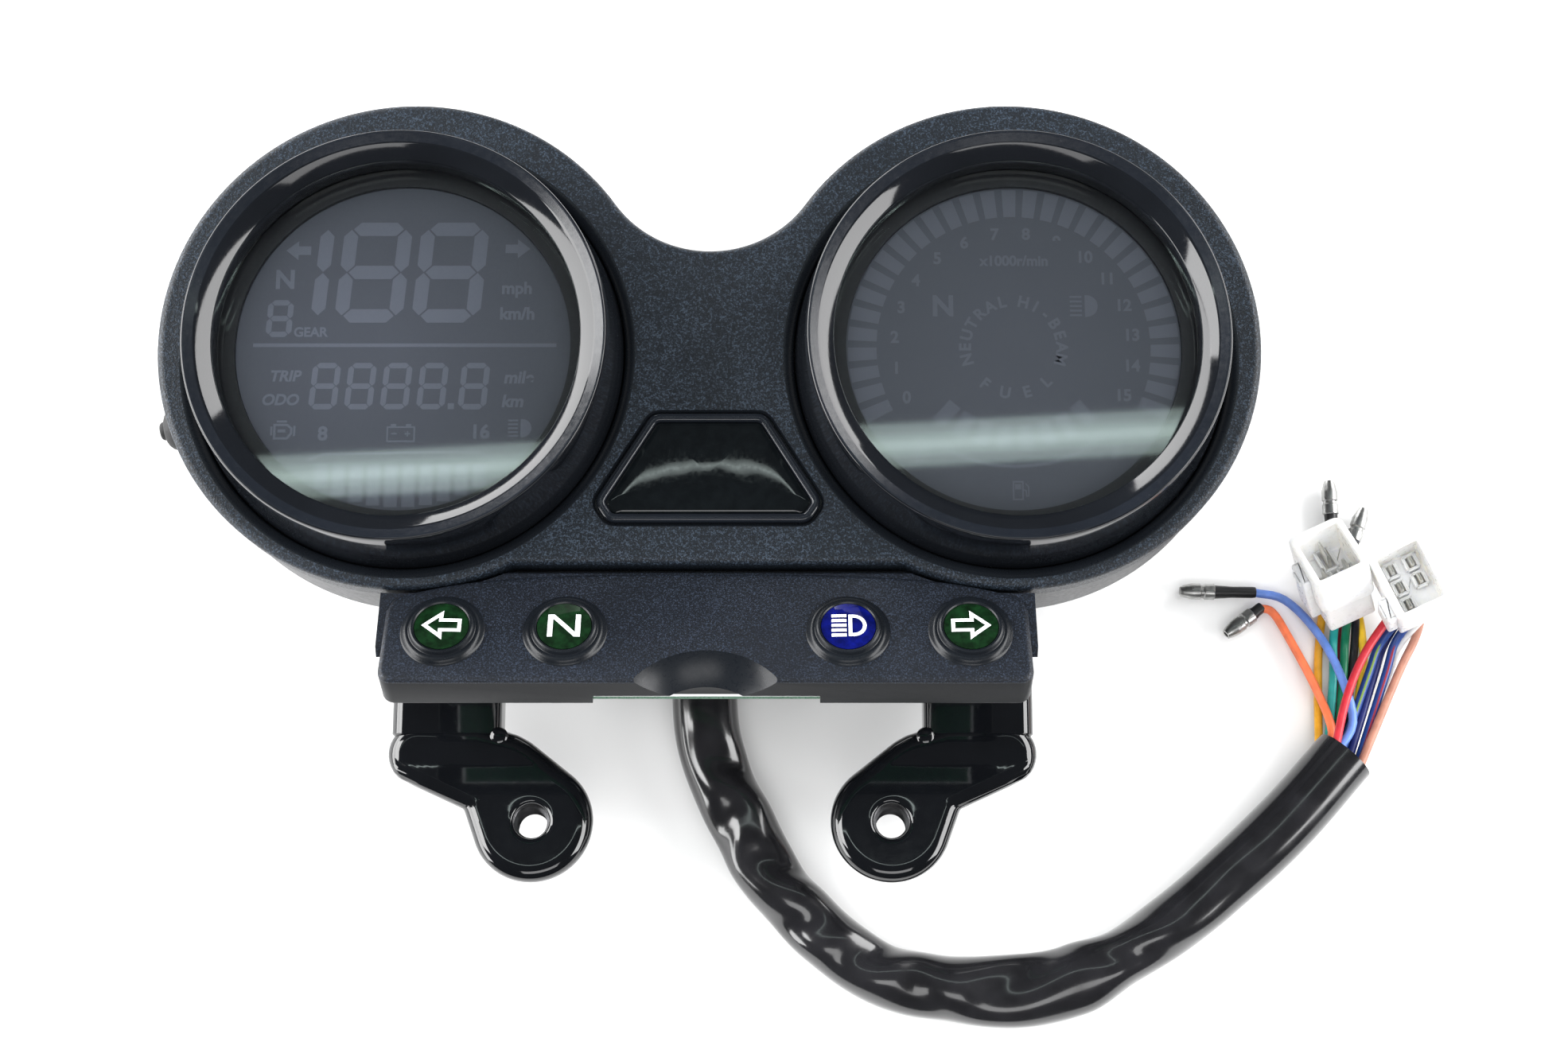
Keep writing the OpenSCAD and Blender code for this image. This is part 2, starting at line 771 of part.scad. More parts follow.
module wire_green() {
    color("Green") wire(in_sleeve(0, -2.1), [[147.7, -62.4, 3.7], [148.6, -54, 3.4]],
        in_plug(four_way, [0, 4.4, 1.5]));
}

module wire_black() {
    color("Black") wire(in_sleeve(2.3, -4.4), [[149.8, -63, 2.4], [151, -54, 3.2]],
        in_plug(four_way, [-2.4, 3.2, 1.5]));
}

module wire_yellow() {
    color("Gold") wire(in_sleeve(2.3, -2.1), [[152.3, -62.5, 3], [152.6, -53, 4]],
        in_plug(four_way, [-3.4, 0.8, 1.5]));
}

module wire_red() {
    color("Red") wire(in_sleeve(-2.3, 4.5), [[146.4, -68.5, 10.6], [152, -57, 9]],
        in_plug(six_way, [3.2, 1.2, 1.5]));
}

module wire_blue_green() {
    color("Blue") wire(in_sleeve(0, 0.2), [[153, -62.2, 6], [156.3, -54.5, 6]],
        in_plug(six_way, [2.4, 3.6, 1.5]));
}

module wire_navy() {
    color("Navy") wire(in_sleeve(2.3, 0.2), [[154.7, -62.4, 4.2], [158, -54, 4]],
        in_plug(six_way, [-0.8, 1.2, 1.5]));
}

module wire_blue_red() {
    color("MediumBlue") wire(in_sleeve(4.6, 0.2), [[157, -62.6, 5.6], [160, -54, 6]],
        in_plug(six_way, [-0.2, 4.8, 1.5]));
}

module wire_white() {
    color("White") wire(in_sleeve(4.6, -2.1), [[158.2, -63.5, 3.2], [161.2, -55, 3.4]],
        in_plug(six_way, [-2.4, 5.4, 1.5]));
}

module wire_brown() {
    color("RosyBrown") wire(in_sleeve(4.6, 2.4), [[160, -62, 6], [165, -52.3, 6]],
        in_plug(six_way, [-4.6, 0.4, 1.5]));
}

front_cowl();
rear_housing();
case_screws();
bezel_left();
bezel_right();
lens_left();
lens_right();
lens_seals();
dial_mask_left();
dial_mask_right();
lcd_left();
lcd_right();
backlight_left();
backlight_right();
circuit_board_left();
circuit_board_right();
indicator_panel();
lamp_housing();
indicator_board();
indicator_leds();
turn_left_lens();
neutral_lens();
high_beam_lens();
turn_right_lens();
badge_frame();
badge_dome();
bracket_crossbar();
bracket_arm_left();
bracket_arm_right();
weld_nuts();
bracket_grommets();
bracket_bolts();
mode_button();
button_bushing();
mode_switch();
cable_grommet();
harness_sleeve();
wire_orange();
wire_light_blue();
wire_amber();
wire_maroon();
wire_teal();
wire_green();
wire_black();
wire_yellow();
wire_red();
wire_blue_green();
wire_navy();
wire_blue_red();
wire_white();
wire_brown();
connector_four_way();
connector_six_way();
blade_terminals_four_way();
blade_terminals_six_way();
bullet_terminals();
heat_shrink_tubes();
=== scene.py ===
"""Twin-gauge motorcycle instrument cluster: the looks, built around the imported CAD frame.

Shapes are worked out in millimetres from the point midway between the two gauges, with z counted from
the surface that the cluster lies on, and put into the frame in metres.
"""
import math

import bmesh
import bpy
from mathutils import Matrix, Vector


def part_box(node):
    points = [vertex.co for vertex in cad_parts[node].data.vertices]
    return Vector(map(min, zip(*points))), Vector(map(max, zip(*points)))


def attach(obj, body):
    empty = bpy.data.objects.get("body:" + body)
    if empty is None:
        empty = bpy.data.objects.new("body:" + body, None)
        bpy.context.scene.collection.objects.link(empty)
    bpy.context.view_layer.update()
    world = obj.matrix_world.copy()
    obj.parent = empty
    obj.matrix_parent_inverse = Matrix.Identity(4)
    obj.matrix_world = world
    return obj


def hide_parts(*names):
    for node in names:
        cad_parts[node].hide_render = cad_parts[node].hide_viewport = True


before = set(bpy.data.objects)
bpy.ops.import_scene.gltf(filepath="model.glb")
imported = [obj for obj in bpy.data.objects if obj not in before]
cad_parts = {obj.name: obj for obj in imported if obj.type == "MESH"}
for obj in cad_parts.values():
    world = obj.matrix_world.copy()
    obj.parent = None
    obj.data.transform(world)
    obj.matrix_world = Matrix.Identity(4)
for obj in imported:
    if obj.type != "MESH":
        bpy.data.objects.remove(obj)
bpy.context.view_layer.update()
SCENE = bpy.context.scene
MM = 0.001
TURN = 2 * math.pi

# --- Driving dimensions, in millimetres ---

HALF_PITCH = 65
LOBE_R = 54.3
LOBE_RISE = 3
SADDLE_LOW = 23.7
WEB_Y = -46
COWL_TOP = 62
COWL_BASE = 54
COLLAR_R = 49
POCKET_HALF_W = 25
POCKET_LOW = -38
POCKET_HIGH = -12.5
FLANGE_BASE = 29
LCD_TOP = 67.2
DRUM_R = 38
CHIN_HALF_W = 62
PANEL_TOP_Y = -47.4
PANEL_TOP_Z = 60
PANEL_TILT = math.radians(25.5)
PANEL_HALF_W = 67.5
PANEL_D = 27.2
PANEL_WALL = 8.9
LAMP_DOWN = 15
LAMP_X = (-54.9, -29.45, 29.45, 54.9)
LAMP_R = 5.65
BRACKET_TOP = 26
SHEET = 2.5
LEG_X = 59.95
LEG_W = 24.7
LEG_H = 9
LEG_BACK = -41.9
LEG_FRONT = -78.3
ARM_TILT = math.radians(9.5)
CREASE_Y = -85
HOLE = (40, -97.5)
HOLE_R = 4
ARM_END_R = 13.5
NUT_TOP = -1.9  # below the arm's upper face
NUT_BASE = -8.4  # below the arm's upper face
NUT_HALF_FLAT = 6.5
SLEEVE_D = 14.2
SLEEVE_BORE = 0.88  # of its outer size
SLEEVE_Z = 7.2
SLEEVE_LOW = 0.12
SLEEVE_SIDES = 72
WIRE_D = 2
MOUTH = Vector((146.3, -80.9, SLEEVE_Z))
MOUTH_AHEAD = Vector((0.635, 0.772, 0))
MOUTH_ACROSS = Vector((0.772, -0.635, 0))


def middle(node):
    low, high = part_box(node)
    return (low + high) / 2


MIDPOINT = (middle("bezel_left") + middle("bezel_right")) / 2
ORIGIN = Vector((MIDPOINT.x, MIDPOINT.y, 0))
PLACE = Matrix.Translation(ORIGIN) @ Matrix.Scale(MM, 4)


def at(x, y, z):
    """A point of the cluster, in the frame, in metres."""
    return PLACE @ Vector((x, y, z))


def new_object(name, data):
    """An object in the scene, from its mesh, curve, lamp or camera."""
    obj = bpy.data.objects.new(name, data)
    SCENE.collection.objects.link(obj)
    return obj


# --- Materials ---


class Nodes:
    """A material under construction: a Principled shader and the nodes that feed it."""

    def __init__(self, name, colour, roughness, **sockets):
        self.material = bpy.data.materials.new(name)
        self.material.use_nodes = True
        self.tree = self.material.node_tree
        self.shader = self.tree.nodes["Principled BSDF"]
        self.set("Base Color", (*colour, 1))
        self.set("Roughness", roughness)
        for socket, value in sockets.items():
            self.set(socket.replace("_", " "), value)
        self.place = self.add("ShaderNodeTexCoord").outputs["Object"]

    def set(self, socket, value):
        self.shader.inputs[socket].default_value = value

    def add(self, kind, **values):
        node = self.tree.nodes.new(kind)
        for key, value in values.items():
            setattr(node, key, value)
        return node

    def link(self, source, target):
        self.tree.links.new(source, target)
        return target

    def noise(self, per_mm, detail=3.0, roughness=0.5, stretch=(1, 1, 1)):
        """Noise with about per_mm features a millimetre."""
        mapping = self.add("ShaderNodeMapping")
        mapping.inputs["Scale"].default_value = [s * per_mm / MM for s in stretch]
        self.link(self.place, mapping.inputs["Vector"])
        node = self.add("ShaderNodeTexNoise")
        node.inputs["Scale"].default_value = 1
        node.inputs["Detail"].default_value = detail
        node.inputs["Roughness"].default_value = roughness
        self.link(mapping.outputs["Vector"], node.inputs["Vector"])
        return node.outputs["Fac"]

    def spread(self, source, low, high, out_low, out_high):
        node = self.add("ShaderNodeMapRange")
        ends = {"From Min": low, "From Max": high, "To Min": out_low, "To Max": out_high}
        for socket, value in ends.items():
            node.inputs[socket].default_value = value
        self.link(source, node.inputs["Value"])
        return node.outputs["Result"]

    def sum(self, first, second):
        node = self.add("ShaderNodeMath", operation="ADD")
        self.link(first, node.inputs[0])
        self.link(second, node.inputs[1])
        return node.outputs[0]

    def ramp(self, source, stops):
        node = self.add("ShaderNodeValToRGB")
        node.color_ramp.elements.remove(node.color_ramp.elements[-1])
        for index, (position, colour) in enumerate(stops):
            element = node.color_ramp.elements[0] if index == 0 else node.color_ramp.elements.new(position)
            element.position = position
            element.color = (*colour, 1)
        self.link(source, node.inputs["Fac"])
        return node.outputs["Color"]

    def colour(self, source, stops):
        self.link(self.ramp(source, stops), self.shader.inputs["Base Color"])

    def rough(self, source, low, high, out_low, out_high):
        self.link(self.spread(source, low, high, out_low, out_high), self.shader.inputs["Roughness"])

    def bump(self, source, depth_mm):
        """Relief of depth_mm where source goes from 0 to 1."""
        node = self.add("ShaderNodeBump")
        node.inputs["Distance"].default_value = depth_mm * MM
        self.link(source, node.inputs["Height"])
        self.link(node.outputs["Normal"], self.shader.inputs["Normal"])


def shade(colour, by):
    return tuple(min(1, c * by) for c in colour)


def grained_plastic(name, colour, roughness, grains_per_mm, depth_mm):
    """Moulded plastic with a spark-eroded grain: low pits, shinier peaks, painted glints on the grain's peaks
    and painted shade in its pits, and a little uneven colour.
    """
    m = Nodes(name, colour, roughness, IOR=1.4)
    grain = m.sum(m.noise(grains_per_mm, 1, 0.5), m.noise(grains_per_mm * 0.6, 1, 0.5))
    # Painted light: grain peaks up to 3.6 times lighter as painted glints, pits half as dark as painted
    # shade; the slow noise is real uneven colour
    painted_glints_and_mottle = m.sum(m.spread(grain, 0.8, 1.3, 0.0, 0.85), m.spread(m.noise(0.05, 3), 0.3, 0.7, 0.0, 0.15))
    m.colour(painted_glints_and_mottle, [(0.2, shade(colour, 0.5)), (0.5, colour), (0.9, shade(colour, 3.6))])
    m.rough(grain, 0.75, 1.25, roughness + 0.1, roughness - 0.08)
    m.bump(grain, depth_mm)
    return m.material


def moulded_plastic(name, colour, roughness, scuffs=0.08, waviness=0.012, specular=0.5):
    """Smooth moulded plastic with faint flow marks, fine scuffs and a slightly wavy surface."""
    m = Nodes(name, colour, roughness, IOR=1.5, Specular_IOR_Level=specular)
    m.colour(m.noise(0.06, 4), [(0.35, shade(colour, 0.88)), (0.65, shade(colour, 1.14))])
    m.rough(m.noise(0.9, 6, 0.7), 0.35, 0.7, roughness - scuffs / 2, roughness + scuffs)
    m.bump(m.sum(m.noise(0.16, 2), m.noise(3.5, 2)), waviness)
    return m.material


def gloss_paint(name, colour):
    """Thick black stove enamel on steel: orange peel under a clear gloss, with dust nibs."""
    m = Nodes(name, colour, 0.09, IOR=1.52, Coat_Weight=0.35, Coat_Roughness=0.04)
    m.colour(m.noise(0.08, 3), [(0.3, shade(colour, 0.8)), (0.7, shade(colour, 1.2))])
    m.rough(m.noise(0.5, 5, 0.7), 0.35, 0.7, 0.05, 0.11)
    m.bump(m.sum(m.noise(0.3, 2), m.noise(0.08, 2)), 0.004)
    return m.material


def metal(name, colour, roughness, brushed=(1, 1, 1)):
    """Plated or tinned metal with fine drawing marks and a little tarnish."""
    m = Nodes(name, colour, roughness, Metallic=1.0)
    m.colour(m.noise(0.5, 5, 0.6), [(0.35, shade(colour, 0.72)), (0.6, colour)])
    m.rough(m.noise(1.4, 5, 0.7, brushed), 0.3, 0.7, roughness - 0.07, roughness + 0.16)
    m.bump(m.noise(2.2, 2, 0.5, brushed), 0.004)
    return m.material


def clear_pane(name, tint, reflectance):
    """A clear moulded lens: it lets the display through and mirrors the lamps above it."""
    material = bpy.data.materials.new(name)
    material.use_nodes = True
    tree = material.node_tree
    tree.nodes.remove(tree.nodes["Principled BSDF"])
    see_through = tree.nodes.new("ShaderNodeBsdfTransparent")
    see_through.inputs["Color"].default_value = (*tint, 1)
    mirror = tree.nodes.new("ShaderNodeBsdfGlossy")
    mirror.inputs["Roughness"].default_value = 0.03
    mirror.inputs["Color"].default_value = (0.93, 1, 0.97, 1)
    fresnel = tree.nodes.new("ShaderNodeFresnel")
    fresnel.inputs["IOR"].default_value = reflectance
    mix = tree.nodes.new("ShaderNodeMixShader")
    tree.links.new(fresnel.outputs["Fac"], mix.inputs["Fac"])
    tree.links.new(see_through.outputs["BSDF"], mix.inputs[1])
    tree.links.new(mirror.outputs["BSDF"], mix.inputs[2])
    tree.links.new(mix.outputs["Shader"], tree.nodes["Material Output"].inputs["Surface"])
    return material


def printed(name, colour, roughness=0.35):
    """Ink or a foil of one colour, with a little unevenness in its cover."""
    m = Nodes(name, colour, roughness)
    m.colour(m.noise(0.8, 4), [(0.35, shade(colour, 0.93)), (0.65, shade(colour, 1.05))])
    m.rough(m.noise(2.0, 3), 0.3, 0.7, roughness - 0.08, roughness + 0.08)
    return m.material


def resin(name, dark, bright):
    """Coloured lamp resin with a mottled depth, under a gloss surface."""
    m = Nodes(name, dark, 0.05, IOR=1.5)
    m.colour(m.noise(0.42, 4, 0.6), [(0.38, dark), (0.68, bright)])
    m.rough(m.noise(1.2, 4), 0.35, 0.7, 0.03, 0.08)
    m.bump(m.noise(0.3, 2), 0.002)
    return m.material


def wire_jacket(name, colour, stripe=None):
    """Thin PVC insulation, with a coloured tracer line along its upper side where it has one."""
    m = Nodes(name, colour, 0.36, IOR=1.5)
    m.colour(m.noise(0.35, 3), [(0.35, shade(colour, 0.86)), (0.65, shade(colour, 1.08))])
    if stripe:
        normal = m.add("ShaderNodeSeparateXYZ")
        m.link(m.add("ShaderNodeNewGeometry").outputs["Normal"], normal.inputs["Vector"])
        band = m.ramp(normal.outputs["Z"], [(0.965, colour), (0.975, stripe)])
        m.link(band, m.shader.inputs["Base Color"])
    m.rough(m.noise(1.2, 3), 0.35, 0.7, 0.3, 0.44)
    m.bump(m.noise(1.6, 3), 0.01)
    return m.material


def display_film(name, bright, dark, painted_light_spot):
    """The polariser over a resting display, with a painted pool of light that fades from its brightest spot
    into painted shade at the edge of the dial.
    """
    m = Nodes(name, bright, 0.5)
    reach = m.add("ShaderNodeVectorMath", operation="DISTANCE")
    m.link(m.place, reach.inputs[0])
    reach.inputs[1].default_value = at(*painted_light_spot, LCD_TOP)
    # Painted light: lighter near the spot, darker towards the dial's edge
    painted_light_fade = m.spread(reach.outputs["Value"], 8 * MM, 44 * MM, 0.9, 0.1)
    fine = m.spread(m.noise(1.4, 4, 0.6), 0.3, 0.7, -0.05, 0.05)
    m.colour(m.sum(painted_light_fade, fine), [(0.05, dark), (0.95, bright)])
    m.rough(m.noise(2.5, 3), 0.3, 0.7, 0.42, 0.58)
    m.bump(m.noise(4, 2), 0.004)
    return m.material


def nylon(name):
    """Milky natural nylon: light sinks in, and the surface has a faint moulded sheen."""
    m = Nodes(name, (0.90, 0.895, 0.88), 0.3, Subsurface_Weight=0.5, Subsurface_Scale=3 * MM)
    m.set("Subsurface Radius", (1.0, 0.9, 0.75))
    m.colour(m.noise(0.3, 3), [(0.35, (0.87, 0.865, 0.85)), (0.65, (0.93, 0.93, 0.925))])
    m.rough(m.noise(1.0, 3), 0.35, 0.7, 0.26, 0.42)
    m.bump(m.noise(1.5, 3), 0.02)
    return m.material


def vinyl(name):
    """Soft black vinyl sleeving: glossy, with fine creases across it."""
    m = Nodes(name, (0.009, 0.009, 0.010), 0.2, IOR=1.52, Coat_Weight=0.5, Coat_Roughness=0.1)
    m.colour(m.noise(0.12, 4), [(0.35, (0.007, 0.007, 0.008)), (0.65, (0.013, 0.013, 0.015))])
    m.rough(m.noise(0.2, 3, 0.5), 0.35, 0.7, 0.15, 0.22)
    m.bump(m.noise(0.08, 1, 0.4), 0.04)
    return m.material


COWL_GRAIN = grained_plastic("cowl_grained_plastic", (0.010, 0.014, 0.020), 0.43, 3.4, 0.07)
PANEL_GRAIN = grained_plastic("panel_fine_grained_plastic", (0.008, 0.0105, 0.016), 0.46, 4.4, 0.025)
HOUSING_PLASTIC = moulded_plastic("housing_satin_plastic", (0.010, 0.012, 0.015), 0.4)
GLOSS_PLASTIC = moulded_plastic("bezel_gloss_plastic", (0.006, 0.007, 0.009), 0.07, 0.03, 0.0015)
SATIN_PLASTIC = moulded_plastic("bezel_satin_rim", (0.008, 0.010, 0.014), 0.2, 0.08, 0.004)
COLLAR_PLASTIC = moulded_plastic("cowl_smooth_collar", (0.006, 0.0075, 0.010), 0.28, 0.05, 0.001, 0.3)
# The panel's walls: the smooth plastic with its colour darkened as painted shade, and a weaker specular
SHADED_WALL_PLASTIC = moulded_plastic("panel_smooth_wall_painted_shade", (0.004, 0.005, 0.0065), 0.34, 0.05, 0.002, 0.12)
PAINT = gloss_paint("bracket_gloss_enamel", (0.003, 0.0035, 0.0045))
VINYL = vinyl("sleeve_soft_vinyl")
NYLON = nylon("connector_milky_nylon")
RUBBER = moulded_plastic("black_rubber", (0.012, 0.012, 0.013), 0.62, 0.1)
TIN = metal("tinned_brass", (0.86, 0.85, 0.80), 0.38)
NICKEL = metal("nickel_plated_brass", (0.52, 0.52, 0.51), 0.31)
ZINC = metal("zinc_plated_steel", (0.62, 0.63, 0.66), 0.3)
STEEL = metal("threaded_steel", (0.10, 0.10, 0.105), 0.34, (1, 1, 6))
LENS_CLEAR = clear_pane("lens_clear", (0.97, 0.98, 0.98), 1.49)
WHITE_INK = printed("icon_white_ink", (0.86, 0.88, 0.90))
MASK_FILM = printed("dial_mask_film", (0.022, 0.023, 0.027), 0.5)
SEAL_BLACK = moulded_plastic("lens_seal_foam", (0.01, 0.01, 0.012), 0.7)
GREEN_RESIN = resin("lamp_green_resin", (0.003, 0.010, 0.004), (0.006, 0.028, 0.009))
BLUE_RESIN = resin("lamp_blue_resin", (0.0015, 0.003, 0.05), (0.003, 0.006, 0.13))
BADGE_RESIN = resin("badge_black_resin", (0.003, 0.004, 0.0048), (0.0045, 0.006, 0.007))
BOARD_GREEN = printed("board_solder_mask", (0.01, 0.09, 0.04), 0.3)
HOUSING_WHITE = moulded_plastic("lamp_box_white", (0.8, 0.81, 0.82), 0.4)
LED_CREAM = printed("led_package", (0.75, 0.72, 0.6), 0.3)
DIFFUSER = printed("light_box_diffuser", (0.8, 0.82, 0.82), 0.5)
BLACK_SHRINK = moulded_plastic("heat_shrink", (0.012, 0.012, 0.013), 0.35)
# Lit and shaded colours of each display's painted pool of light; the segments use lighter copies of them
FILM_LEFT_PAINTED_LIT = (0.106, 0.113, 0.147)
FILM_LEFT_PAINTED_SHADE = (0.060, 0.066, 0.086)
FILM_RIGHT_PAINTED_LIT = (0.084, 0.090, 0.116)
FILM_RIGHT_PAINTED_SHADE = (0.064, 0.070, 0.090)
# Where each display's painted pool of light is brightest
LEFT_PAINTED_LIGHT_SPOT = (-HALF_PITCH - 10, -2)
RIGHT_PAINTED_LIGHT_SPOT = (HALF_PITCH, -4)
FILM_LEFT = display_film("display_film_left_painted_light", FILM_LEFT_PAINTED_LIT, FILM_LEFT_PAINTED_SHADE, LEFT_PAINTED_LIGHT_SPOT)
FILM_RIGHT = display_film("display_film_right_painted_light", FILM_RIGHT_PAINTED_LIT, FILM_RIGHT_PAINTED_SHADE, RIGHT_PAINTED_LIGHT_SPOT)
INK_LEFT = display_film(
    "display_segments_left_painted_light", shade(FILM_LEFT_PAINTED_LIT, 1.7), shade(FILM_LEFT_PAINTED_SHADE, 1.6), LEFT_PAINTED_LIGHT_SPOT)
INK_RIGHT = display_film(
    "display_segments_right_painted_light", shade(FILM_RIGHT_PAINTED_LIT, 1.45), shade(FILM_RIGHT_PAINTED_SHADE, 1.45), RIGHT_PAINTED_LIGHT_SPOT)


# --- Mesh tools ---


def finish_mesh(mesh, sharp_angle=32):
    for polygon in mesh.polygons:
        polygon.use_smooth = True
    mesh.set_sharp_from_angle(angle=math.radians(sharp_angle))


def new_mesh(name, points, faces, materials, matrix):
    """A mesh from points in millimetres; materials is one material or a list."""
    mesh = bpy.data.meshes.new(name)
    mesh.from_pydata([matrix @ Vector(p) for p in points], [], faces)
    for material in materials if isinstance(materials, list) else [materials]:
        mesh.materials.append(material)
    return mesh


def piece(name, points, faces, materials, matrix=PLACE, sharp_angle=32):
    """A mesh object that is smooth up to its sharp angle, with its faces turned outward."""
    mesh = new_mesh(name, points, faces, materials, matrix)
    tidy = bmesh.new()
    tidy.from_mesh(mesh)
    bmesh.ops.recalc_face_normals(tidy, faces=tidy.faces)
    tidy.to_mesh(mesh)
    tidy.free()
    finish_mesh(mesh, sharp_angle)
    return new_object(name, mesh)


def bake(obj):
    """Turns an object's modifiers into its mesh."""
    depsgraph = bpy.context.evaluated_depsgraph_get()
    mesh = bpy.data.meshes.new_from_object(obj.evaluated_get(depsgraph))
    obj.modifiers.clear()
    old = obj.data
    obj.data = mesh
    bpy.data.meshes.remove(old)


def cut(obj, cutters):
    """Takes each cutter's solid out of the object, and removes the cutters."""
    for cutter in cutters:
        modifier = obj.modifiers.new("cut", "BOOLEAN")
        modifier.operation = "DIFFERENCE"
        modifier.object = cutter
        modifier.solver = "EXACT"
    bake(obj)
    finish_mesh(obj.data)
    for cutter in cutters:
        bpy.data.objects.remove(cutter)
    return obj


def weigh_normals(obj):
    """Lets the flat faces set the shading beside rounded edges."""
    modifier = obj.modifiers.new("weigh", "WEIGHTED_NORMAL")
    modifier.keep_sharp = True
    bake(obj)


def join(name, objects):
    """Joins objects into one; their materials become its slots."""
    target = objects[0]
    for obj in objects[1:]:
        slots = []
        for material in obj.data.materials:
            if material.name not in target.data.materials:
                target.data.materials.append(material)
            slots.append(target.data.materials.find(material.name))
        merged = bmesh.new()
        merged.from_mesh(target.data)
        kept = len(merged.faces)
        merged.from_mesh(obj.data)
        merged.faces.ensure_lookup_table()
        for face in merged.faces[kept:]:
            face.material_index = slots[min(face.material_index, len(slots) - 1)]
        merged.to_mesh(target.data)
        merged.free()
        bpy.data.objects.remove(obj)
    target.name = name
    finish_mesh(target.data)
    return target


def ring_faces(count, rings, looped):
    """Quads between rings of count points. The last ring joins the first, or there is a face at each end."""
    faces = []
    for ring in range(rings if looped else rings - 1):
        here = ring * count
        there = (ring + 1) % rings * count
        for i in range(count):
            beside = (i + 1) % count
            faces.append((here + i, here + beside, there + beside, there + i))
    if not looped:
        faces.append(tuple(range(count))[::-1])
        faces.append(tuple(range((rings - 1) * count, rings * count)))
    return faces


def loft(name, rings, material, matrix=PLACE, sharp_angle=32, looped=False):
    """A skin over rings that have the same number of points. A looped one closes on itself."""
    points = [p for ring in rings for p in ring]
    faces = ring_faces(len(rings[0]), len(rings), looped)
    return piece(name, points, faces, material, matrix, sharp_angle)


def circle(r, z, steps):
    """Points round Z at one height."""
    angles = [TURN * i / steps for i in range(steps)]
    return [(r * math.cos(a), r * math.sin(a), z) for a in angles]


def revolve(name, profile, material, matrix=PLACE, steps=128, loop=False, sharp_angle=32):
    """Turns a profile of (radius, height) about Z. A loop profile closes on itself into a ring."""
    rings = [circle(r, z, steps) for r, z in profile]
    return loft(name, rings, material, matrix, sharp_angle, loop)


def arc(centre, r, start, stop, steps):
    """Points on an arc, angles in degrees."""
    angles = [math.radians(start + (stop - start) * i / steps) for i in range(steps + 1)]
    return [(centre[0] + r * math.cos(a), centre[1] + r * math.sin(a)) for a in angles]


def rounded_corners(points, radius, steps=6):
    """A closed outline with each corner replaced by an arc-like curve."""
    out = []
    for i, point in enumerate(points):
        p = Vector(point)
        before = Vector(points[i - 1]) - p
        after = Vector(points[(i + 1) % len(points)]) - p
        half = before.angle(after) / 2
        reach = min(radius / math.tan(half), before.length * 0.45, after.length * 0.45)
        start = p + before.normalized() * reach
        stop = p + after.normalized() * reach
        for k in range(steps + 1):
            t = k / steps
            out.append(tuple(start * (1 - t) ** 2 + p * (2 * t * (1 - t)) + stop * t**2))
    return out


def inset(outline, distance):
    """A counter-clockwise outline drawn in by distance, or out where it is negative."""
    out = []
    for i, point in enumerate(outline):
        p = Vector(point)
        before = (p - Vector(outline[i - 1])).normalized()
        after = (Vector(outline[(i + 1) % len(outline)]) - p).normalized()
        ahead = (before + after).normalized()
        stretch = 1 / max(0.5, ahead.dot(after))
        out.append(tuple(p + Vector((-ahead.y, ahead.x)) * distance * stretch))
    return out


def slab(name, outline, levels, material, matrix=PLACE, sharp_angle=32, looped=False):
    """Stacks insets of an outline: levels is a list of (inset, height)."""
    rings = [[(x, y, z) for x, y in inset(outline, d)] for d, z in levels]
    return loft(name, rings, material, matrix, sharp_angle, looped)


def rounded_levels(low, high, low_edge, high_edge, steps=5):
    """Levels for a slab with rounded lower and upper edges."""
    quarter = [math.pi / 2 * i / steps for i in range(steps + 1)]
    lower = [(low_edge * (1 - math.sin(a)), low + low_edge * (1 - math.cos(a))) for a in quarter]
    upper = [(high_edge * (1 - math.cos(a)), high - high_edge * (1 - math.sin(a))) for a in quarter]
    first = [(low_edge + 0.2, low)] if low_edge else []
    last = [(high_edge + 0.2, high)] if high_edge else []
    return first + lower + upper + last


def box_shape(x, y, w, h):
    """A rectangle centred at x, y."""
    return [(x - w / 2, y - h / 2), (x + w / 2, y - h / 2), (x + w / 2, y + h / 2), (x - w / 2, y + h / 2)]


def block(name, size, centre, material, matrix=PLACE, edge=0.4):
    """A moulded block with rounded corners and edges."""
    w, d, h = size
    outline = rounded_corners(box_shape(0, 0, w, d), max(edge, 0.2), 4)
    levels = rounded_levels(-h / 2, h / 2, edge, edge, 3)
    return slab(name, outline, levels, material, matrix @ Matrix.Translation(Vector(centre)))


def smooth_path(points, per_span):
    """A Catmull-Rom curve through the points."""
    points = [Vector(p) for p in points]
    ends = [points[0] * 2 - points[1]] + points + [points[-1] * 2 - points[-2]]
    out = []
    for i in range(len(points) - 1):
        a, b, c, d = ends[i : i + 4]
        for k in range(per_span):
            t = k / per_span
            squared = (2 * a - 5 * b + 4 * c - d) * t**2
            cubed = (3 * b - a - 3 * c + d) * t**3
            out.append(0.5 * (2 * b + (c - a) * t + squared + cubed))
    return out + [points[-1]]


def on_side(side):
    """The cluster's own axes for side 1, and their mirror image for side -1."""
    return PLACE @ Matrix.Scale(side, 4, (1, 0, 0))


def gauge(side):
    """Axes at the middle of the left gauge for side -1, or the right one for side 1."""
    return PLACE @ Matrix.Translation((side * HALF_PITCH, 0, 0))


def gradual(low, high, value):
    """0 below low, 1 above high, and a smooth rise between."""
    t = min(1, max(0, (value - low) / (high - low)))
    return t * t * (3 - 2 * t)


# --- Camera and cords ---

CAMERA_AT = at(16.1, -131, 523.7)
CAMERA_TILT = math.radians(11.6)
camera_data = bpy.data.cameras.new("camera")
camera_data.lens = 51.03
camera_data.sensor_width = 36
camera_data.clip_start = 0.01
camera = new_object("camera", camera_data)
camera.location = CAMERA_AT
camera.rotation_euler = (CAMERA_TILT, 0, 0)
SCENE.camera = camera

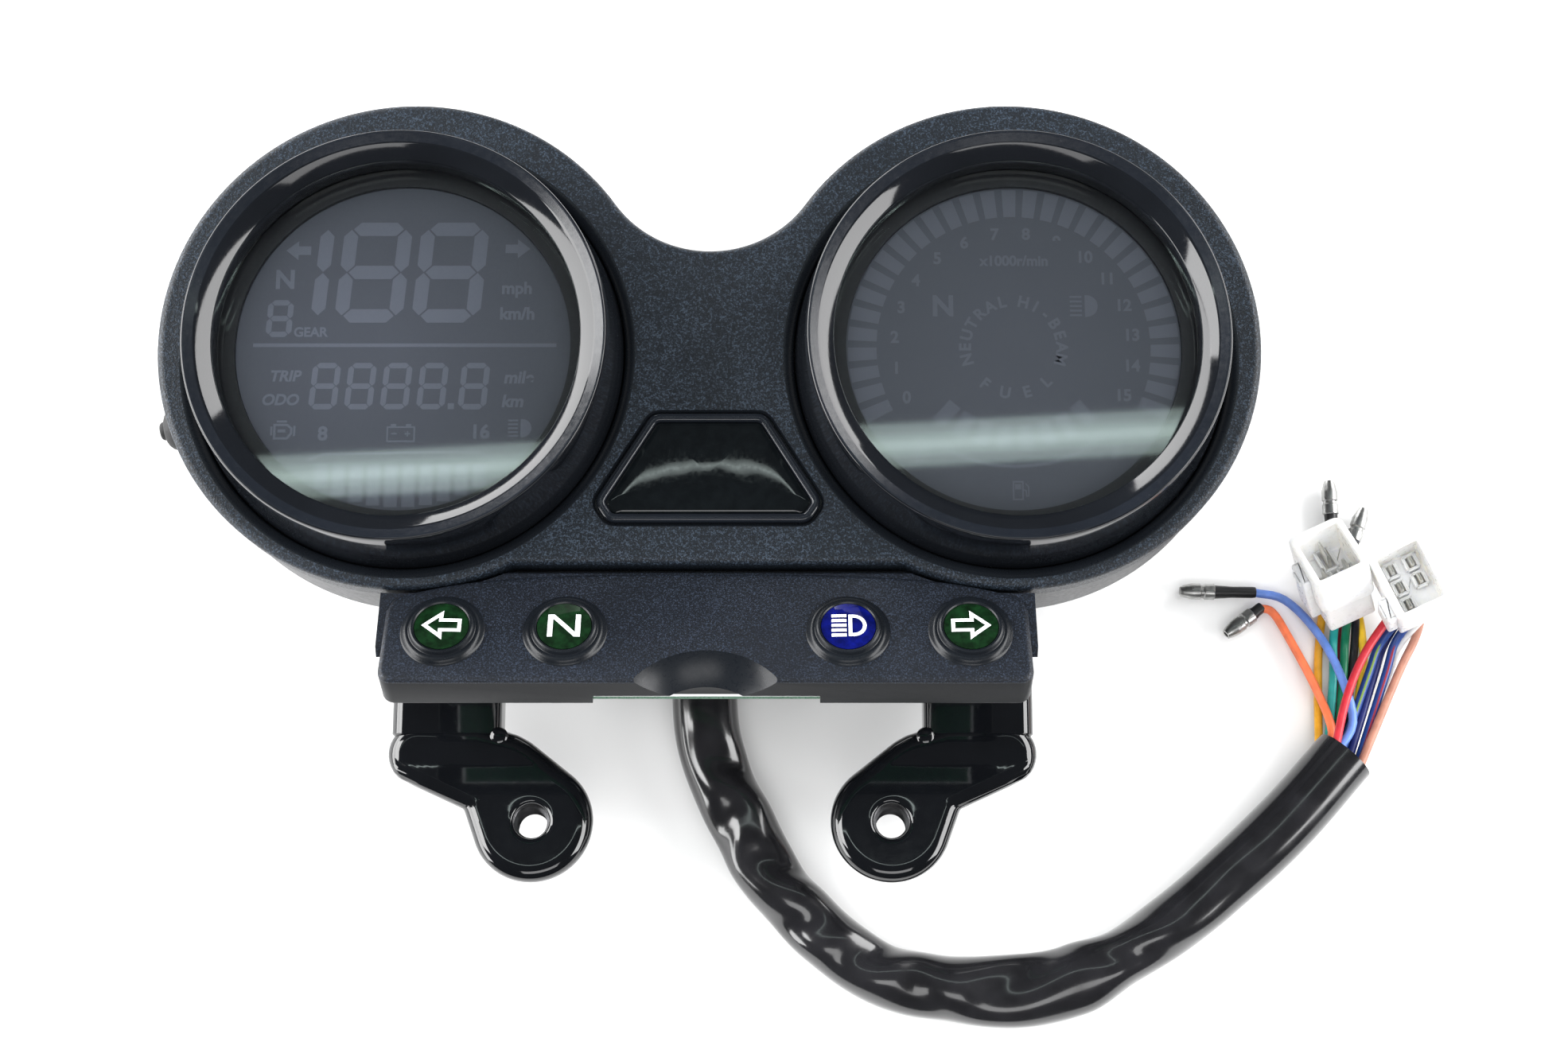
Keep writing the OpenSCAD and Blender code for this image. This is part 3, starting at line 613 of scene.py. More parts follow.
GLAND = Vector((-2, -13, FLANGE_BASE - 2))
GLAND_AHEAD = Vector((0, -math.sin(math.pi / 4), -math.cos(math.pi / 4)))
BOOT_L = 12
SLEEVE_ROUTE = [
    GLAND + BOOT_L * GLAND_AHEAD, (-2, -28, 15.6), (-2.3, -37.5, 9.4), (-2.6, -48.3, SLEEVE_Z),
    (-2.5, -62, SLEEVE_Z), (-1.4, -77.3, SLEEVE_Z), (4.1, -92.1, SLEEVE_Z), (11.8, -106.6, SLEEVE_Z),
    (21, -118, SLEEVE_Z), (33, -127.8, SLEEVE_Z), (44.1, -132.6, SLEEVE_Z), (58.5, -134.4, SLEEVE_Z),
    (73, -134, SLEEVE_Z), (87.6, -129.8, SLEEVE_Z), (102.4, -121.2, SLEEVE_Z), (117.4, -109.5, SLEEVE_Z),
    (132.7, -95.6, SLEEVE_Z), MOUTH,
]


def path_length(points):
    return sum((Vector(b) - Vector(a)).length for a, b in zip(points, points[1:]))


class Plug:
    """A connector's own axes: origin at the middle of its back, z towards its mouth."""

    def __init__(self, back, lean, azimuth, spin):
        self.matrix = (
            Matrix.Translation(back)
            @ Matrix.Rotation(math.radians(azimuth), 4, "Z")
            @ Matrix.Rotation(math.radians(lean), 4, "Y")
            @ Matrix.Rotation(math.radians(spin), 4, "Z")
        )

    def point(self, x, y, z):
        return self.matrix @ Vector((x, y, z))


FOUR_WAY = Plug((147.1, -45, 7.7), 33.9, 126.6, 75)
SIX_WAY = Plug((162.8, -43.7, 8.6), 14.3, 165, 38)

# Each bullet terminal: where its heat-shrink tube starts, where the metal starts, and a point it heads for
BULLETS = {
    "light_blue": ((127.7, -41.8, 2.2), (118.4, -41.7, 2.3), (109.8, -41.5, 2.3)),
    "orange": ((129.2, -45.6, 2.2), (127.2, -47.2, 2.4), (120.6, -52.1, 3)),
    "amber": ((147, -31, 2.4), (147, -22.9, 2.6), (146.9, -14.9, 2.9)),
    "maroon": ((150.6, -35, 2.4), (152, -29.2, 2.6), (154.7, -22.1, 2.9)),
}


def in_sleeve(across, up):
    return MOUTH - 3 * MOUTH_AHEAD + across * MOUTH_ACROSS + Vector((0, 0, up))


YELLOW_GREEN = (0.16, 0.26, 0.04)
RED = (0.52, 0.02, 0.035)
CRIMSON = (0.24, 0.012, 0.03)
BLUE = (0.012, 0.045, 0.20)
# Each wire: where it starts in the sleeve, its bends, where it ends, its colour and its tracer line
WIRES = {
    "orange": ((-4.6, 0.2), [(143.6, -75.5, 7.3), (141.2, -65.2, 4), (135.4, -52.3, 2.5),
               (132.1, -46.6, 2.2)], BULLETS["orange"][0], (0.9, 0.19, 0.07), None),
    "light_blue": ((-2.3, 2.3), [(148.1, -73.6, 9.1), (146.2, -61.5, 6.4), (141.9, -51.2, 3.4),
                   (135.1, -43.6, 2.2)], BULLETS["light_blue"][0], (0.13, 0.25, 0.68), None),
    "amber": ((-4.6, -2.1), [(142.2, -65, 1.4), (143.3, -52, 1.2)], BULLETS["amber"][0],
              (0.75, 0.36, 0.02), None),
    "maroon": ((0, -4.4), [(147.6, -62, 1.2), (148.6, -52, 1.2)], BULLETS["maroon"][0],
               (0.2, 0.02, 0.04), None),
    "teal": ((-2.3, -2.1), [(145.3, -63, 3.6), (145.9, -54, 3.2)], FOUR_WAY.point(2.2, 2.6, 1.5),
             (0.02, 0.33, 0.30), None),
    "green": ((0, -2.1), [(147.7, -62.4, 3.7), (148.6, -54, 3.4)], FOUR_WAY.point(0, 4.4, 1.5),
              (0.006, 0.17, 0.08), None),
    "black": ((2.3, -4.4), [(149.8, -63, 2.4), (151, -54, 3.2)], FOUR_WAY.point(-2.4, 3.2, 1.5),
              (0.012, 0.012, 0.014), None),
    "yellow": ((2.3, -2.1), [(152.3, -62.5, 3), (152.6, -53, 4)], FOUR_WAY.point(-3.4, 0.8, 1.5),
               (0.85, 0.55, 0.02), None),
    "red": ((-2.3, 4.5), [(146.4, -68.5, 10.6), (152, -57, 9)], SIX_WAY.point(3.2, 1.2, 1.5), RED, None),
    "blue_green": ((0, 0.2), [(153, -62.2, 6), (156.3, -54.5, 6)], SIX_WAY.point(2.4, 3.6, 1.5),
                   BLUE, YELLOW_GREEN),
    "navy": ((2.3, 0.2), [(154.7, -62.4, 4.2), (158, -54, 4)], SIX_WAY.point(-0.8, 1.2, 1.5),
             (0.012, 0.018, 0.12), None),
    "blue_red": ((4.6, 0.2), [(157, -62.6, 5.6), (160, -54, 6)], SIX_WAY.point(-0.2, 4.8, 1.5),
                 BLUE, CRIMSON),
    "white": ((4.6, -2.1), [(158.2, -63.5, 3.2), (161.2, -55, 3.4)], SIX_WAY.point(-2.4, 5.4, 1.5),
              (0.8, 0.8, 0.79), None),
    "brown": ((4.6, 2.4), [(160, -62, 6), (165, -52.3, 6)], SIX_WAY.point(-4.6, 0.4, 1.5),
              (0.42, 0.19, 0.13), None),
}


def stands_for(obj, node, body="cluster"):
    """The piece moves with a body and takes the place of a CAD node, which it hides."""
    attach(obj, body)
    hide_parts(node)
    return obj


def wire(name, route, colour, stripe):
    """A round insulated wire along a smooth curve."""
    data = bpy.data.curves.new("insulated_wire_" + name, "CURVE")
    data.dimensions = "3D"
    data.bevel_depth = WIRE_D / 2 * MM
    data.bevel_resolution = 5
    data.use_fill_caps = True
    per_span = 7 if len(route) < 6 else 5
    points = smooth_path(route, per_span)
    spline = data.splines.new("POLY")
    spline.points.add(len(points) - 1)
    for target, point in zip(spline.points, points):
        target.co = (*at(*point), 1)
    spline.use_smooth = True
    data.materials.append(wire_jacket("insulation_" + name, colour, stripe))
    return stands_for(new_object("insulated_wire_" + name, data), "wire_" + name), points


# Folds pressed into the sleeve: distance along it in mm, angle round it, slant, and depth and width in mm
SLEEVE_FOLDS = [
    (66, 120, 0.30, 1.5, 5.0), (78, 62, -0.25, 1.3, 4.2), (92, 118, 0.35, 1.6, 4.6),
    (106, 66, 0.30, 1.5, 4.4), (121, 110, 0.35, 1.7, 5.0), (137, 72, -0.25, 1.2, 4.4),
    (158, 112, 0.55, 1.5, 8.0), (183, 96, -0.60, 1.3, 6.0), (212, 78, -0.10, 0.4, 7.0),
]


def sleeve_half_width(along, total):
    """The flattened sleeve is wide where it is creased and round towards its mouth.

    Each stop is a distance along it and its half width there."""
    stops = [(0, 7.1), (25, 7.0), (45, 7.6), (80, 7.6), (110, 7.0), (140, 7.3), (160, 8.3), (172, 8.2),
             (184, 6.3), (198, 6.9), (230, 7.2), (total, 7.1)]
    for (a, wide_a), (b, wide_b) in zip(stops, stops[1:]):
        if along <= b:
            return wide_a + (wide_b - wide_a) * gradual(a, b, along)
    return stops[-1][1]


def sleeve_dent(along, angle):
    """How far the folds press the wall in, or lift it beside them."""
    depth = 0
    for centre, direction, slant, fold_depth, width in SLEEVE_FOLDS:
        turn = (angle - direction + 180) % 360 - 180
        across = (along - centre) - slant * turn / 4
        reach = math.exp(-((turn / 58) ** 2))
        u = across / width
        depth += fold_depth * reach * (math.exp(-u * u) - 0.4 * math.exp(-((u - 1.8) ** 2)))
    return depth


def sleeve():
    """The vinyl sleeve: an open-ended tube with a wall, flattened and folded along its way."""
    path = smooth_path(SLEEVE_ROUTE, 11)
    total = path_length(path)
    outer, inner = [], []
    up = Vector((0, 0, 1))
    along = 0
    for i, point in enumerate(path):
        before, after = path[max(i - 1, 0)], path[min(i + 1, len(path) - 1)]
        ahead = (after - before).normalized()
        side = ahead.cross(up).normalized()
        lift = side.cross(ahead)
        along += (point - before).length
        half = sleeve_half_width(along, total)
        half_height = SLEEVE_D / 2 * SLEEVE_D / 2 / half
        ring = []
        for k in range(SLEEVE_SIDES):
            angle = 360 * k / SLEEVE_SIDES
            a = math.radians(angle)
            dent = sleeve_dent(along, angle)
            wide = (half - dent) * math.cos(a)
            tall = (half_height - dent) * math.sin(a)
            wall_point = point + side * wide + lift * tall
            wall_point.z = max(wall_point.z, SLEEVE_LOW)
            ring.append(wall_point)
        outer.append(ring)
        inner.append([point + (p - point) * SLEEVE_BORE for p in ring])
    obj = loft("harness_sleeve_vinyl", outer + inner[::-1], VINYL, sharp_angle=75, looped=True)
    return stands_for(obj, "harness_sleeve"), path, total


sleeve_piece, sleeve_path, sleeve_total = sleeve()
wire_pieces = {}
wire_paths = {}
for colour_name, (start, bends, end, colour, stripe) in WIRES.items():
    route = [in_sleeve(*start), *bends, end]
    wire_pieces[colour_name], wire_paths[colour_name] = wire(colour_name, route, colour, stripe)


# --- Cowl ---


def cowl_outline():
    """Two round lobes joined by a saddle above and a straight web below."""
    drop = LOBE_R + LOBE_RISE - SADDLE_LOW
    saddle_y = LOBE_RISE + (HALF_PITCH**2 - drop**2) / (2 * drop)
    saddle_r = saddle_y - SADDLE_LOW
    run_in = math.degrees(math.atan2(saddle_y - LOBE_RISE, HALF_PITCH))
    corner = math.degrees(math.asin((LOBE_RISE - WEB_Y) / LOBE_R))
    right = arc((HALF_PITCH, LOBE_RISE), LOBE_R, 180 + corner, 540 - run_in, 110)
    top = arc((0, saddle_y), saddle_r, -run_in - 2, run_in - 178, 36)
    left = arc((-HALF_PITCH, LOBE_RISE), LOBE_R, run_in, 360 - corner, 110)
    return right + top + left


def badge_outline():
    corners = [(-12.1, -13.2), (-24.4, -32.6), (-21.4, -37), (21.4, -37), (24.4, -32.6), (12.1, -13.2)]
    return rounded_corners(corners, 3.4, 8)


def front_cowl():
    """The grained plate, with flared holes for the gauges and a pocket for the badge."""
    outline = cowl_outline()
    levels = [(2.2, COWL_BASE), (0.3, COWL_BASE), (0, COWL_BASE + 0.3)]
    levels += rounded_levels(COWL_BASE + 1, COWL_TOP, 0, 1.7, 6)[7:]
    shell = slab("front_cowl_shell", outline, levels, [COWL_GRAIN, COLLAR_PLASTIC])
    flare = [(46.7, 40), (46.7, 60.3), (47.0, 60.9), (47.6, 61.4), (48.3, 61.75), (49.1, 62.01), (49.1, 66)]
    holes = [revolve("hole", flare, COLLAR_PLASTIC, gauge(side), 160) for side in (-1, 1)]
    pocket_levels = [(0, 60.8), (0, 61.5), (-0.5, 62.02), (-0.5, 64)]
    pocket = slab("pocket", inset(badge_outline(), -0.35), pocket_levels, COLLAR_PLASTIC)
    cut(shell, holes + [pocket])
    to_cluster = PLACE.inverted()
    for polygon in shell.data.polygons:
        spot = to_cluster @ polygon.center
        in_collar = math.hypot(abs(spot.x) - HALF_PITCH, spot.y) < COLLAR_R
        in_pocket = abs(spot.x) < POCKET_HALF_W and POCKET_LOW < spot.y < POCKET_HIGH
        low = COWL_BASE + 0.5 < spot.z < COWL_TOP - 0.02
        polygon.material_index = 1 if low and (in_collar or in_pocket) else 0
    weigh_normals(shell)
    return stands_for(shell, "front_cowl")


# --- Housing ---

# Axes where the harness leaves the case, with z along the sleeve
AT_GLAND = PLACE @ Matrix.Translation(GLAND) @ Matrix.Rotation(math.radians(135), 4, "X")
GLAND_COLLAR = [
    (10.54, -9), *arc((10.9, -8.4), 0.6, -90, 0, 4), *arc((10.9, -0.6), 0.6, 0, 90, 4), (10.54, 0),
]


def case_tray():
    """The rear half of the case, with a rounded lower edge."""
    outline = inset(cowl_outline(), 0.3)
    lower_edge = rounded_levels(FLANGE_BASE, COWL_BASE, 3, 0, 6)[1:8]
    levels = [(4, FLANGE_BASE), *lower_edge, (0.15, 47), (0, COWL_BASE)]
    return slab("tray", outline, levels, HOUSING_PLASTIC)


def pod_back(side):
    """The round back of a pod: a drum with a rounded rim, and ribs in its sunk middle and on its flank."""
    profile = [(3, 1.6), (21, 1.6), (22, 1.4), (22.4, 0.4), (23, 0), (34.5, 0), (36, 0.25), (37.2, 0.9),
               (37.8, 2), (DRUM_R, 3.4), (DRUM_R, 27), (38.8, 29.5)]
    parts = [revolve("drum", profile, HOUSING_PLASTIC, gauge(side))]
    for turn in range(0, 360, 60):
        spoke = gauge(side) @ Matrix.Rotation(math.radians(turn), 4, "Z")
        parts.append(block("rib", (14, 1.6, 1.4), (12.5, 0, 1.0), HOUSING_PLASTIC, spoke, 0.3))
        flank = Matrix.Translation((DRUM_R + 3, 0, 26.5))
        parts.append(block("flank_rib", (9, 1.8, 8), (0, 0, 0), HOUSING_PLASTIC, spoke @ flank, 0.4))
    return parts


def chin_block():
    """The box under the indicator panel that the bracket bolts to."""
    section = rounded_corners([(-44, 29), (-44, 53), (-56, 51), (-68.3, 56), (-68.3, 34), (-64, 29)], 1.6, 4)
    rings = []
    flat_half = CHIN_HALF_W - 0.8
    for x, shrink in ((-CHIN_HALF_W, 0.8), (-flat_half, 0), (flat_half, 0), (CHIN_HALF_W, 0.8)):
        rings.append([(x, y, z) for y, z in inset(section[::-1], shrink)])
    return loft("chin", rings, HOUSING_PLASTIC)


def snap_tab(matrix):
    """A hook on the lower flank of the case, with its slot."""
    corners = [(74, -47.5), (79.6, -50.2), (80.6, -53), (84.5, -51.2), (103.2, -38.4), (99, -33)]
    outline = rounded_corners(corners, 0.6, 3)
    tab = slab("snap_tab", outline, rounded_levels(38, 57.5, 0.5, 0.6, 3), HOUSING_PLASTIC, matrix)
    slot = block("slot", (5.5, 3.2, 30), (82.6, -53.4, 52), HOUSING_PLASTIC, matrix, 0.3)
    return cut(tab, [slot])


def rear_housing():
    parts = [case_tray(), chin_block()]
    for side in (-1, 1):
        parts += pod_back(side)
        parts.append(snap_tab(on_side(side)))
    parts.append(revolve("gland_collar", GLAND_COLLAR, HOUSING_PLASTIC, AT_GLAND, 96))
    return stands_for(join("rear_housing_shell", parts), "rear_housing")


# --- Gauges ---

BEZEL_PROFILE = [
    (42.7, 56), (42.7, 71.4), (38.6, 71.5), (38.45, 71.8), (38.45, 76.5), (38.5, 76.75), (38.7, 76.95),
    (41.35, 78.85), (41.6, 79.0), (41.85, 79.1), (43.45, 79.9), (43.65, 79.98), (43.85, 80.0), (44.1, 79.85),
    (44.28, 79.4), (44.4, 78.6), (44.7, 76), (45.4, 68.4), (45.7, 67.2), (46.2, 63), (46.5, 60.6), (46.5, 56),
]
BEZEL_STEPS = 224
SATIN_BANDS = (9, 10, 11)


def bezel(side, name):
    """A glossy ring, a little duller along its crown, where the profile's satin bands are."""
    finishes = [GLOSS_PLASTIC, SATIN_PLASTIC]
    obj = revolve(name + "_ring", BEZEL_PROFILE, finishes, gauge(side), BEZEL_STEPS, True, 60)
    for index, polygon in enumerate(obj.data.polygons):
        polygon.material_index = 1 if index // BEZEL_STEPS in SATIN_BANDS else 0
    return stands_for(obj, name)


def lens(side, name):
    profile = [(42.4, 69.4), (42.4, 71.1), (42.1, 71.4)]
    obj = revolve(name + "_disc", profile, LENS_CLEAR, gauge(side), 160)
    return stands_for(obj, name)


# --- Printed marks on the displays ---

INK_THICK = 0.02


def flat_mesh(name, shapes, material, matrix, height, cuts=0):
    """Thin flat shapes, each a list of outline points in a plane; cuts divides them to follow a dome."""
    points, faces = [], []
    for shape in shapes:
        first = len(points)
        points += [(x, y, height) for x, y in shape]
        faces.append(tuple(range(first, first + len(shape))))
    mesh = new_mesh(name, points, faces, material, matrix)
    made = bmesh.new()
    made.from_mesh(mesh)
    bmesh.ops.recalc_face_normals(made, faces=made.faces)
    for face in made.faces:
        if face.normal.z < 0:
            face.normal_flip()
    if cuts:
        bmesh.ops.triangulate(made, faces=made.faces[:])
        bmesh.ops.subdivide_edges(made, edges=made.edges[:], cuts=cuts, use_grid_fill=True)
    body = bmesh.ops.extrude_face_region(made, geom=made.faces[:])
    raised = [v for v in body["geom"] if isinstance(v, bmesh.types.BMVert)]
    bmesh.ops.translate(made, verts=raised, vec=(0, 0, INK_THICK * MM))
    bmesh.ops.triangulate(made, faces=made.faces[:])
    made.to_mesh(mesh)
    made.free()
    return new_object(name, mesh)


def stroke(points, width, closed=False):
    """Quads along a line that is mitred at its corners."""
    points = [Vector(p) for p in points]
    count = len(points)
    edges = []
    for i, p in enumerate(points):
        before = (p - points[i - 1]).normalized() if i or closed else (points[1] - p).normalized()
        after = (points[(i + 1) % count] - p).normalized() if i < count - 1 or closed else before
        ahead = (before + after).normalized()
        reach = width / 2 / max(0.35, ahead.dot(after))
        across = Vector((-ahead.y, ahead.x)) * reach
        edges.append((p + across, p - across))
    spans = range(count if closed else count - 1)
    return [[edges[i][0], edges[i][1], edges[(i + 1) % count][1], edges[(i + 1) % count][0]] for i in spans]


def moved(shapes, x, y, scale=1.0, turn=0.0):
    """Shapes scaled and turned about their own middle, then put at x, y."""
    c, s = math.cos(turn), math.sin(turn)
    return [[(x + scale * (c * px - s * py), y + scale * (s * px + c * py)) for px, py in shape]
            for shape in shapes]


def digit(x, y, w, h, thick, slant, lit="abcdefg"):
    """A seven-segment figure centred at x, y."""
    gap = thick * 0.14
    half_w, half_h = w / 2 - thick / 2, h / 2 - thick / 2
    across = [(-half_w + thick / 2 + gap, 0), (half_w - thick / 2 - gap, 0)]

    def bar(cx, cy, length, upright):
        a, t = length / 2, thick / 2
        shape = [(-a, 0), (-a + t, -t), (a - t, -t), (a, 0), (a - t, t), (-a + t, t)]
        if upright:
            shape = [(py, px) for px, py in shape][::-1]
        return [(cx + px, cy + py) for px, py in shape]

    flat = across[1][0] - across[0][0] + thick
    tall = half_h - gap * 2 + 0.2 * thick
    segments = {
        "a": bar(0, half_h, flat, False), "g": bar(0, 0, flat, False), "d": bar(0, -half_h, flat, False),
        "b": bar(half_w, half_h / 2, tall, True), "c": bar(half_w, -half_h / 2, tall, True),
        "f": bar(-half_w, half_h / 2, tall, True), "e": bar(-half_w, -half_h / 2, tall, True),
    }
    return [[(x + px + slant * py, y + py) for px, py in segments[key]] for key in lit]


def arrow(direction):
    """A solid turn arrow, 1 across."""
    shape = [(-0.5, 0), (0, -0.4), (0, -0.18), (0.5, -0.18), (0.5, 0.18), (0, 0.18), (0, 0.4)]
    return [[(direction * -x, y) for x, y in shape][:: -direction]]


def beam_icon():
    """High-beam symbol: five bars and a lamp."""
    lamp = [(0.02, -0.4)] + arc((0.08, 0), 0.4, -90, 90, 12) + [(0.02, 0.4)]
    bars = [box_shape(-0.3, 0.34 - 0.17 * i, 0.42, 0.07) for i in range(5)]
    return [lamp] + bars


def battery_icon():
    case = stroke([(-0.5, -0.29), (0.5, -0.29), (0.5, 0.25), (-0.5, 0.25)], 0.06, closed=True)
    marks = [box_shape(-0.25, 0, 0.2, 0.05), box_shape(0.25, 0, 0.2, 0.05), box_shape(0.25, 0, 0.05, 0.2)]
    return case + [box_shape(-0.28, 0.32, 0.2, 0.1), box_shape(0.28, 0.32, 0.2, 0.1)] + marks


def engine_icon():
    outline = [(-0.34, -0.3), (0.16, -0.3), (0.32, -0.1), (0.32, 0.1), (0.16, 0.24), (-0.34, 0.24)]
    return stroke(outline, 0.09, closed=True) + [
        box_shape(-0.46, 0, 0.08, 0.36), box_shape(-0.06, 0.38, 0.4, 0.08), box_shape(0.44, 0, 0.08, 0.4),
        box_shape(-0.06, 0, 0.3, 0.12)]


def pump_icon():
    case = stroke([(-0.38, -0.5), (0.14, -0.5), (0.14, 0.5), (-0.38, 0.5)], 0.09, closed=True)
    hose = stroke([(0.16, 0.05), (0.32, 0), (0.34, -0.32), (0.46, -0.3), (0.46, 0.2), (0.3, 0.4)], 0.07)
    return case + hose + [box_shape(-0.12, 0.22, 0.34, 0.3)]


def letters(text, x, y, height, slant=0.0, turn=0.0):
    """Plain sans letters as outlines, centred at x, y; height is that of a capital."""
    curve = bpy.data.curves.new("letters", "FONT")
    curve.body = text
    curve.align_x = "CENTER"
    curve.align_y = "CENTER"
    curve.size = height / 0.7
    curve.shear = slant
    curve.offset = 0.045 * height
    obj = new_object("letters", curve)
    bpy.context.view_layer.update()
    mesh = bpy.data.meshes.new_from_object(obj.evaluated_get(bpy.context.evaluated_depsgraph_get()))
    shapes = [[tuple(mesh.vertices[i].co.xy) for i in polygon.vertices] for polygon in mesh.polygons]
    bpy.data.objects.remove(obj)
    bpy.data.meshes.remove(mesh)
    bpy.data.curves.remove(curve)
    return moved(shapes, x, y, 1.0, turn)


def curved_letters(text, radius, start, stop, height):
    """Letters spaced along an arc, angles in degrees. Clockwise ones have their feet towards the middle."""
    shapes = []
    feet = -math.pi / 2 if stop < start else math.pi / 2
    for i, letter in enumerate(text):
        angle = math.radians(start + (stop - start) * i / (len(text) - 1))
        turn = angle + feet
        shapes += letters(letter, radius * math.cos(angle), radius * math.sin(angle), height, 0, turn)
    return shapes


# The words of the left display: text, place, height and slant
LEFT_WORDS = (
    ("N", -25.8, 14.9, 4), ("GEAR", -19.9, 3.3, 2), ("mph", 23.9, 13.1, 2.6), ("km/h", 24.1, 7.4, 2.6),
    ("TRIP", -25, -6.4, 2.3, 0.2), ("ODO", -25.8, -11.6, 2.3, 0.2), ("mile", 24.7, -6.7, 2.6, 0.15),
    ("km", 23.5, -11.9, 2.6, 0.15), ("8", -16.4, -19, 2.9), ("16", 16.8, -18.6, 2.9),
)


def left_marks():
    """Speed, trip and gear figures of the left display."""
    shapes = digit(-20, 16.7, 7.4, 22.4, 3, 0.08, "bc")
    for x in (-6.9, 9.6):
        shapes += digit(x, 16.7, 14.6, 22.4, 3, 0.08)
    shapes += moved(arrow(-1), -23.2, 21.6, 5.3)
    shapes += moved(arrow(1), 23.9, 22, 5.3)
    shapes += digit(-26.6, 6.4, 5.5, 8.2, 1.2, 0.05)
    shapes += stroke([(-32, 0.5), (32.6, 0.5)], 0.8)
    for x in (-16.4, -8.8, -1.2, 6.5, 15.3):
        shapes += digit(x, -8.5, 6, 10.2, 1.2, 0.08)
    shapes.append(box_shape(10.5, -12.9, 1.3, 1.3))
    for word in LEFT_WORDS:
        shapes += letters(*word)
    shapes += moved(engine_icon(), -24.8, -18.3, 5.4)
    shapes += moved(battery_icon(), 0.1, -18.9, 5.7)
    shapes += moved(beam_icon(), 25.3, -17.7, 5)
    shapes += stroke([(-19.4, -24.7), (-16.1, -23.3), (16.9, -22.8), (20.1, -24.7)], 0.45)
    for i in range(10):
        x = -16.4 + 3.7 * i
        reach = math.sqrt(34.8**2 - x**2)
        shapes.append(box_shape(x, -(25.4 + reach) / 2, 2.7, reach - 25.4))
    return shapes


def right_marks():
    """Engine speed, lamps and fuel figures of the right display."""
    shapes = []
    for i in range(31):
        angle = 205.5 - 7.66 * i
        outer = arc((0, 0), 35.3, angle - 2.5, angle + 2.5, 5)
        inner = arc((0, 0), 29.2, angle + 2.5, angle - 2.5, 5)
        shapes.append(outer + inner)
    for value in range(16):
        angle = math.radians(205.8 - 15.37 * value)
        shapes += letters(str(value), 25.4 * math.cos(angle), 25.4 * math.sin(angle), 2.5)
    shapes += letters("x1000r/min", 0.5, 19.2, 2.2)
    shapes += letters("N", -14.9, 9, 4.4)
    shapes += moved(beam_icon(), 15.3, 9.2, 6)
    for word, start, stop in (("NEUTRAL", 195, 103), ("HI-BEAM", 77, -15), ("FUEL", 232, 312)):
        shapes += curved_letters(word, 10.2, start, stop, 2.4)
    for i in range(8):
        turn = math.radians(12 * i - 42)
        x, y = 20.6 * math.sin(turn) * 1.05, 0.8 - 20.6 * math.cos(turn)
        shapes += moved([box_shape(0, 0, 3, 5.5)], x, y, 1, turn)
    turns = [math.radians(-50 + 10 * i) for i in range(12)]
    shapes += stroke([(18.5 * math.sin(t) * 1.07, -26 + 12 * (1 - math.cos(t))) for t in turns], 0.7)
    shapes += letters("E", -20.5, -23.8, 2.6) + letters("F", 21.2, -23.2, 2.6)
    shapes += moved(pump_icon(), 0.8, -31.2, 3.8)
    return shapes


def display_marks(side, node, shapes, ink):
    """Marks that lie on a display and move with it."""
    obj = flat_mesh(node + "_marks", shapes, ink, gauge(side), LCD_TOP + 0.05)
    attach(obj, "cluster")


# --- Indicator panel ---

ON_PANEL = PLACE @ Matrix.Translation((0, PANEL_TOP_Y, PANEL_TOP_Z)) @ Matrix.Rotation(-PANEL_TILT, 4, "X")


def at_lamp(x):
    """The panel's axes, moved to the lamp at x."""
    return ON_PANEL @ Matrix.Translation((x, -LAMP_DOWN, 0))


def face_outline():
    """The panel's face: an arched upper edge and round corners."""
    half = [(67.3, -9.4, 0), (64.6, -5.8, 0), (51.5, -2.4, 0), (37, -0.8, 0), (18, 0, 0)]
    other_half = [(-x, y, z) for x, y, z in half[::-1]]
    top = [tuple(p.xy) for p in smooth_path([*half, (0, 0, 0), *other_half], 6)]
    corner = 2.8
    left = arc((-PANEL_HALF_W + corner, -PANEL_D + corner), corner, 180, 270, 7)
    right = arc((PANEL_HALF_W - corner, -PANEL_D + corner), corner, 270, 360, 7)
    return top + left + right


def panel_neck():
    """The grained neck between the cowl's lower edge and the face."""
    section = [(WEB_Y - 1.2, 51.5), (-57, 51.5), (-64, 59), (-66, 63.8), (-64, 65.3), (-54, 62),
               (-48.6, 60.1), (-47.6, 59.7), (WEB_Y - 1.2, 59)]
    rings = [[(x, y, z) for y, z in section[::-1]] for x in (69, -69)]
    neck = loft("neck", rings, PANEL_GRAIN)
    lobes = []
    for side in (-1, 1):
        lobe = PLACE @ Matrix.Translation((side * HALF_PITCH, LOBE_RISE, 0))
        lobes.append(revolve("lobe", [(LOBE_R + 0.8, 30), (LOBE_R + 0.8, 90)], PANEL_GRAIN, lobe))
    return cut(neck, lobes)


BOSS_PROFILE = [
    (LAMP_R + 0.1, -1), (9.0, -1), (8.9, -0.05), (8.6, 0.1), (8.35, 0.45), (8.1, 0.85), (7.75, 1.15),
    (7.35, 1.25), (7.05, 1.22), (6.92, 1.3), (6.8, 1.6), (6.62, 1.95), (6.3, 2.12), (6.0, 2.05),
    (LAMP_R + 0.12, 1.8),
]
SCOOP_R = 22.7
SCOOP_AT = Vector((0, -PANEL_D - 11.9, 11.9))


def scoop_ball():
    """The ball that leaves the scoop in the panel's front edge."""
    ball = bpy.data.meshes.new("ball")
    made = bmesh.new()
    bmesh.ops.create_uvsphere(made, u_segments=128, v_segments=64, radius=SCOOP_R * MM)
    made.to_mesh(ball)
    made.free()
    scoop = new_object("scoop", ball)
    scoop.matrix_world = Matrix.Translation(ON_PANEL @ SCOOP_AT)
    return scoop


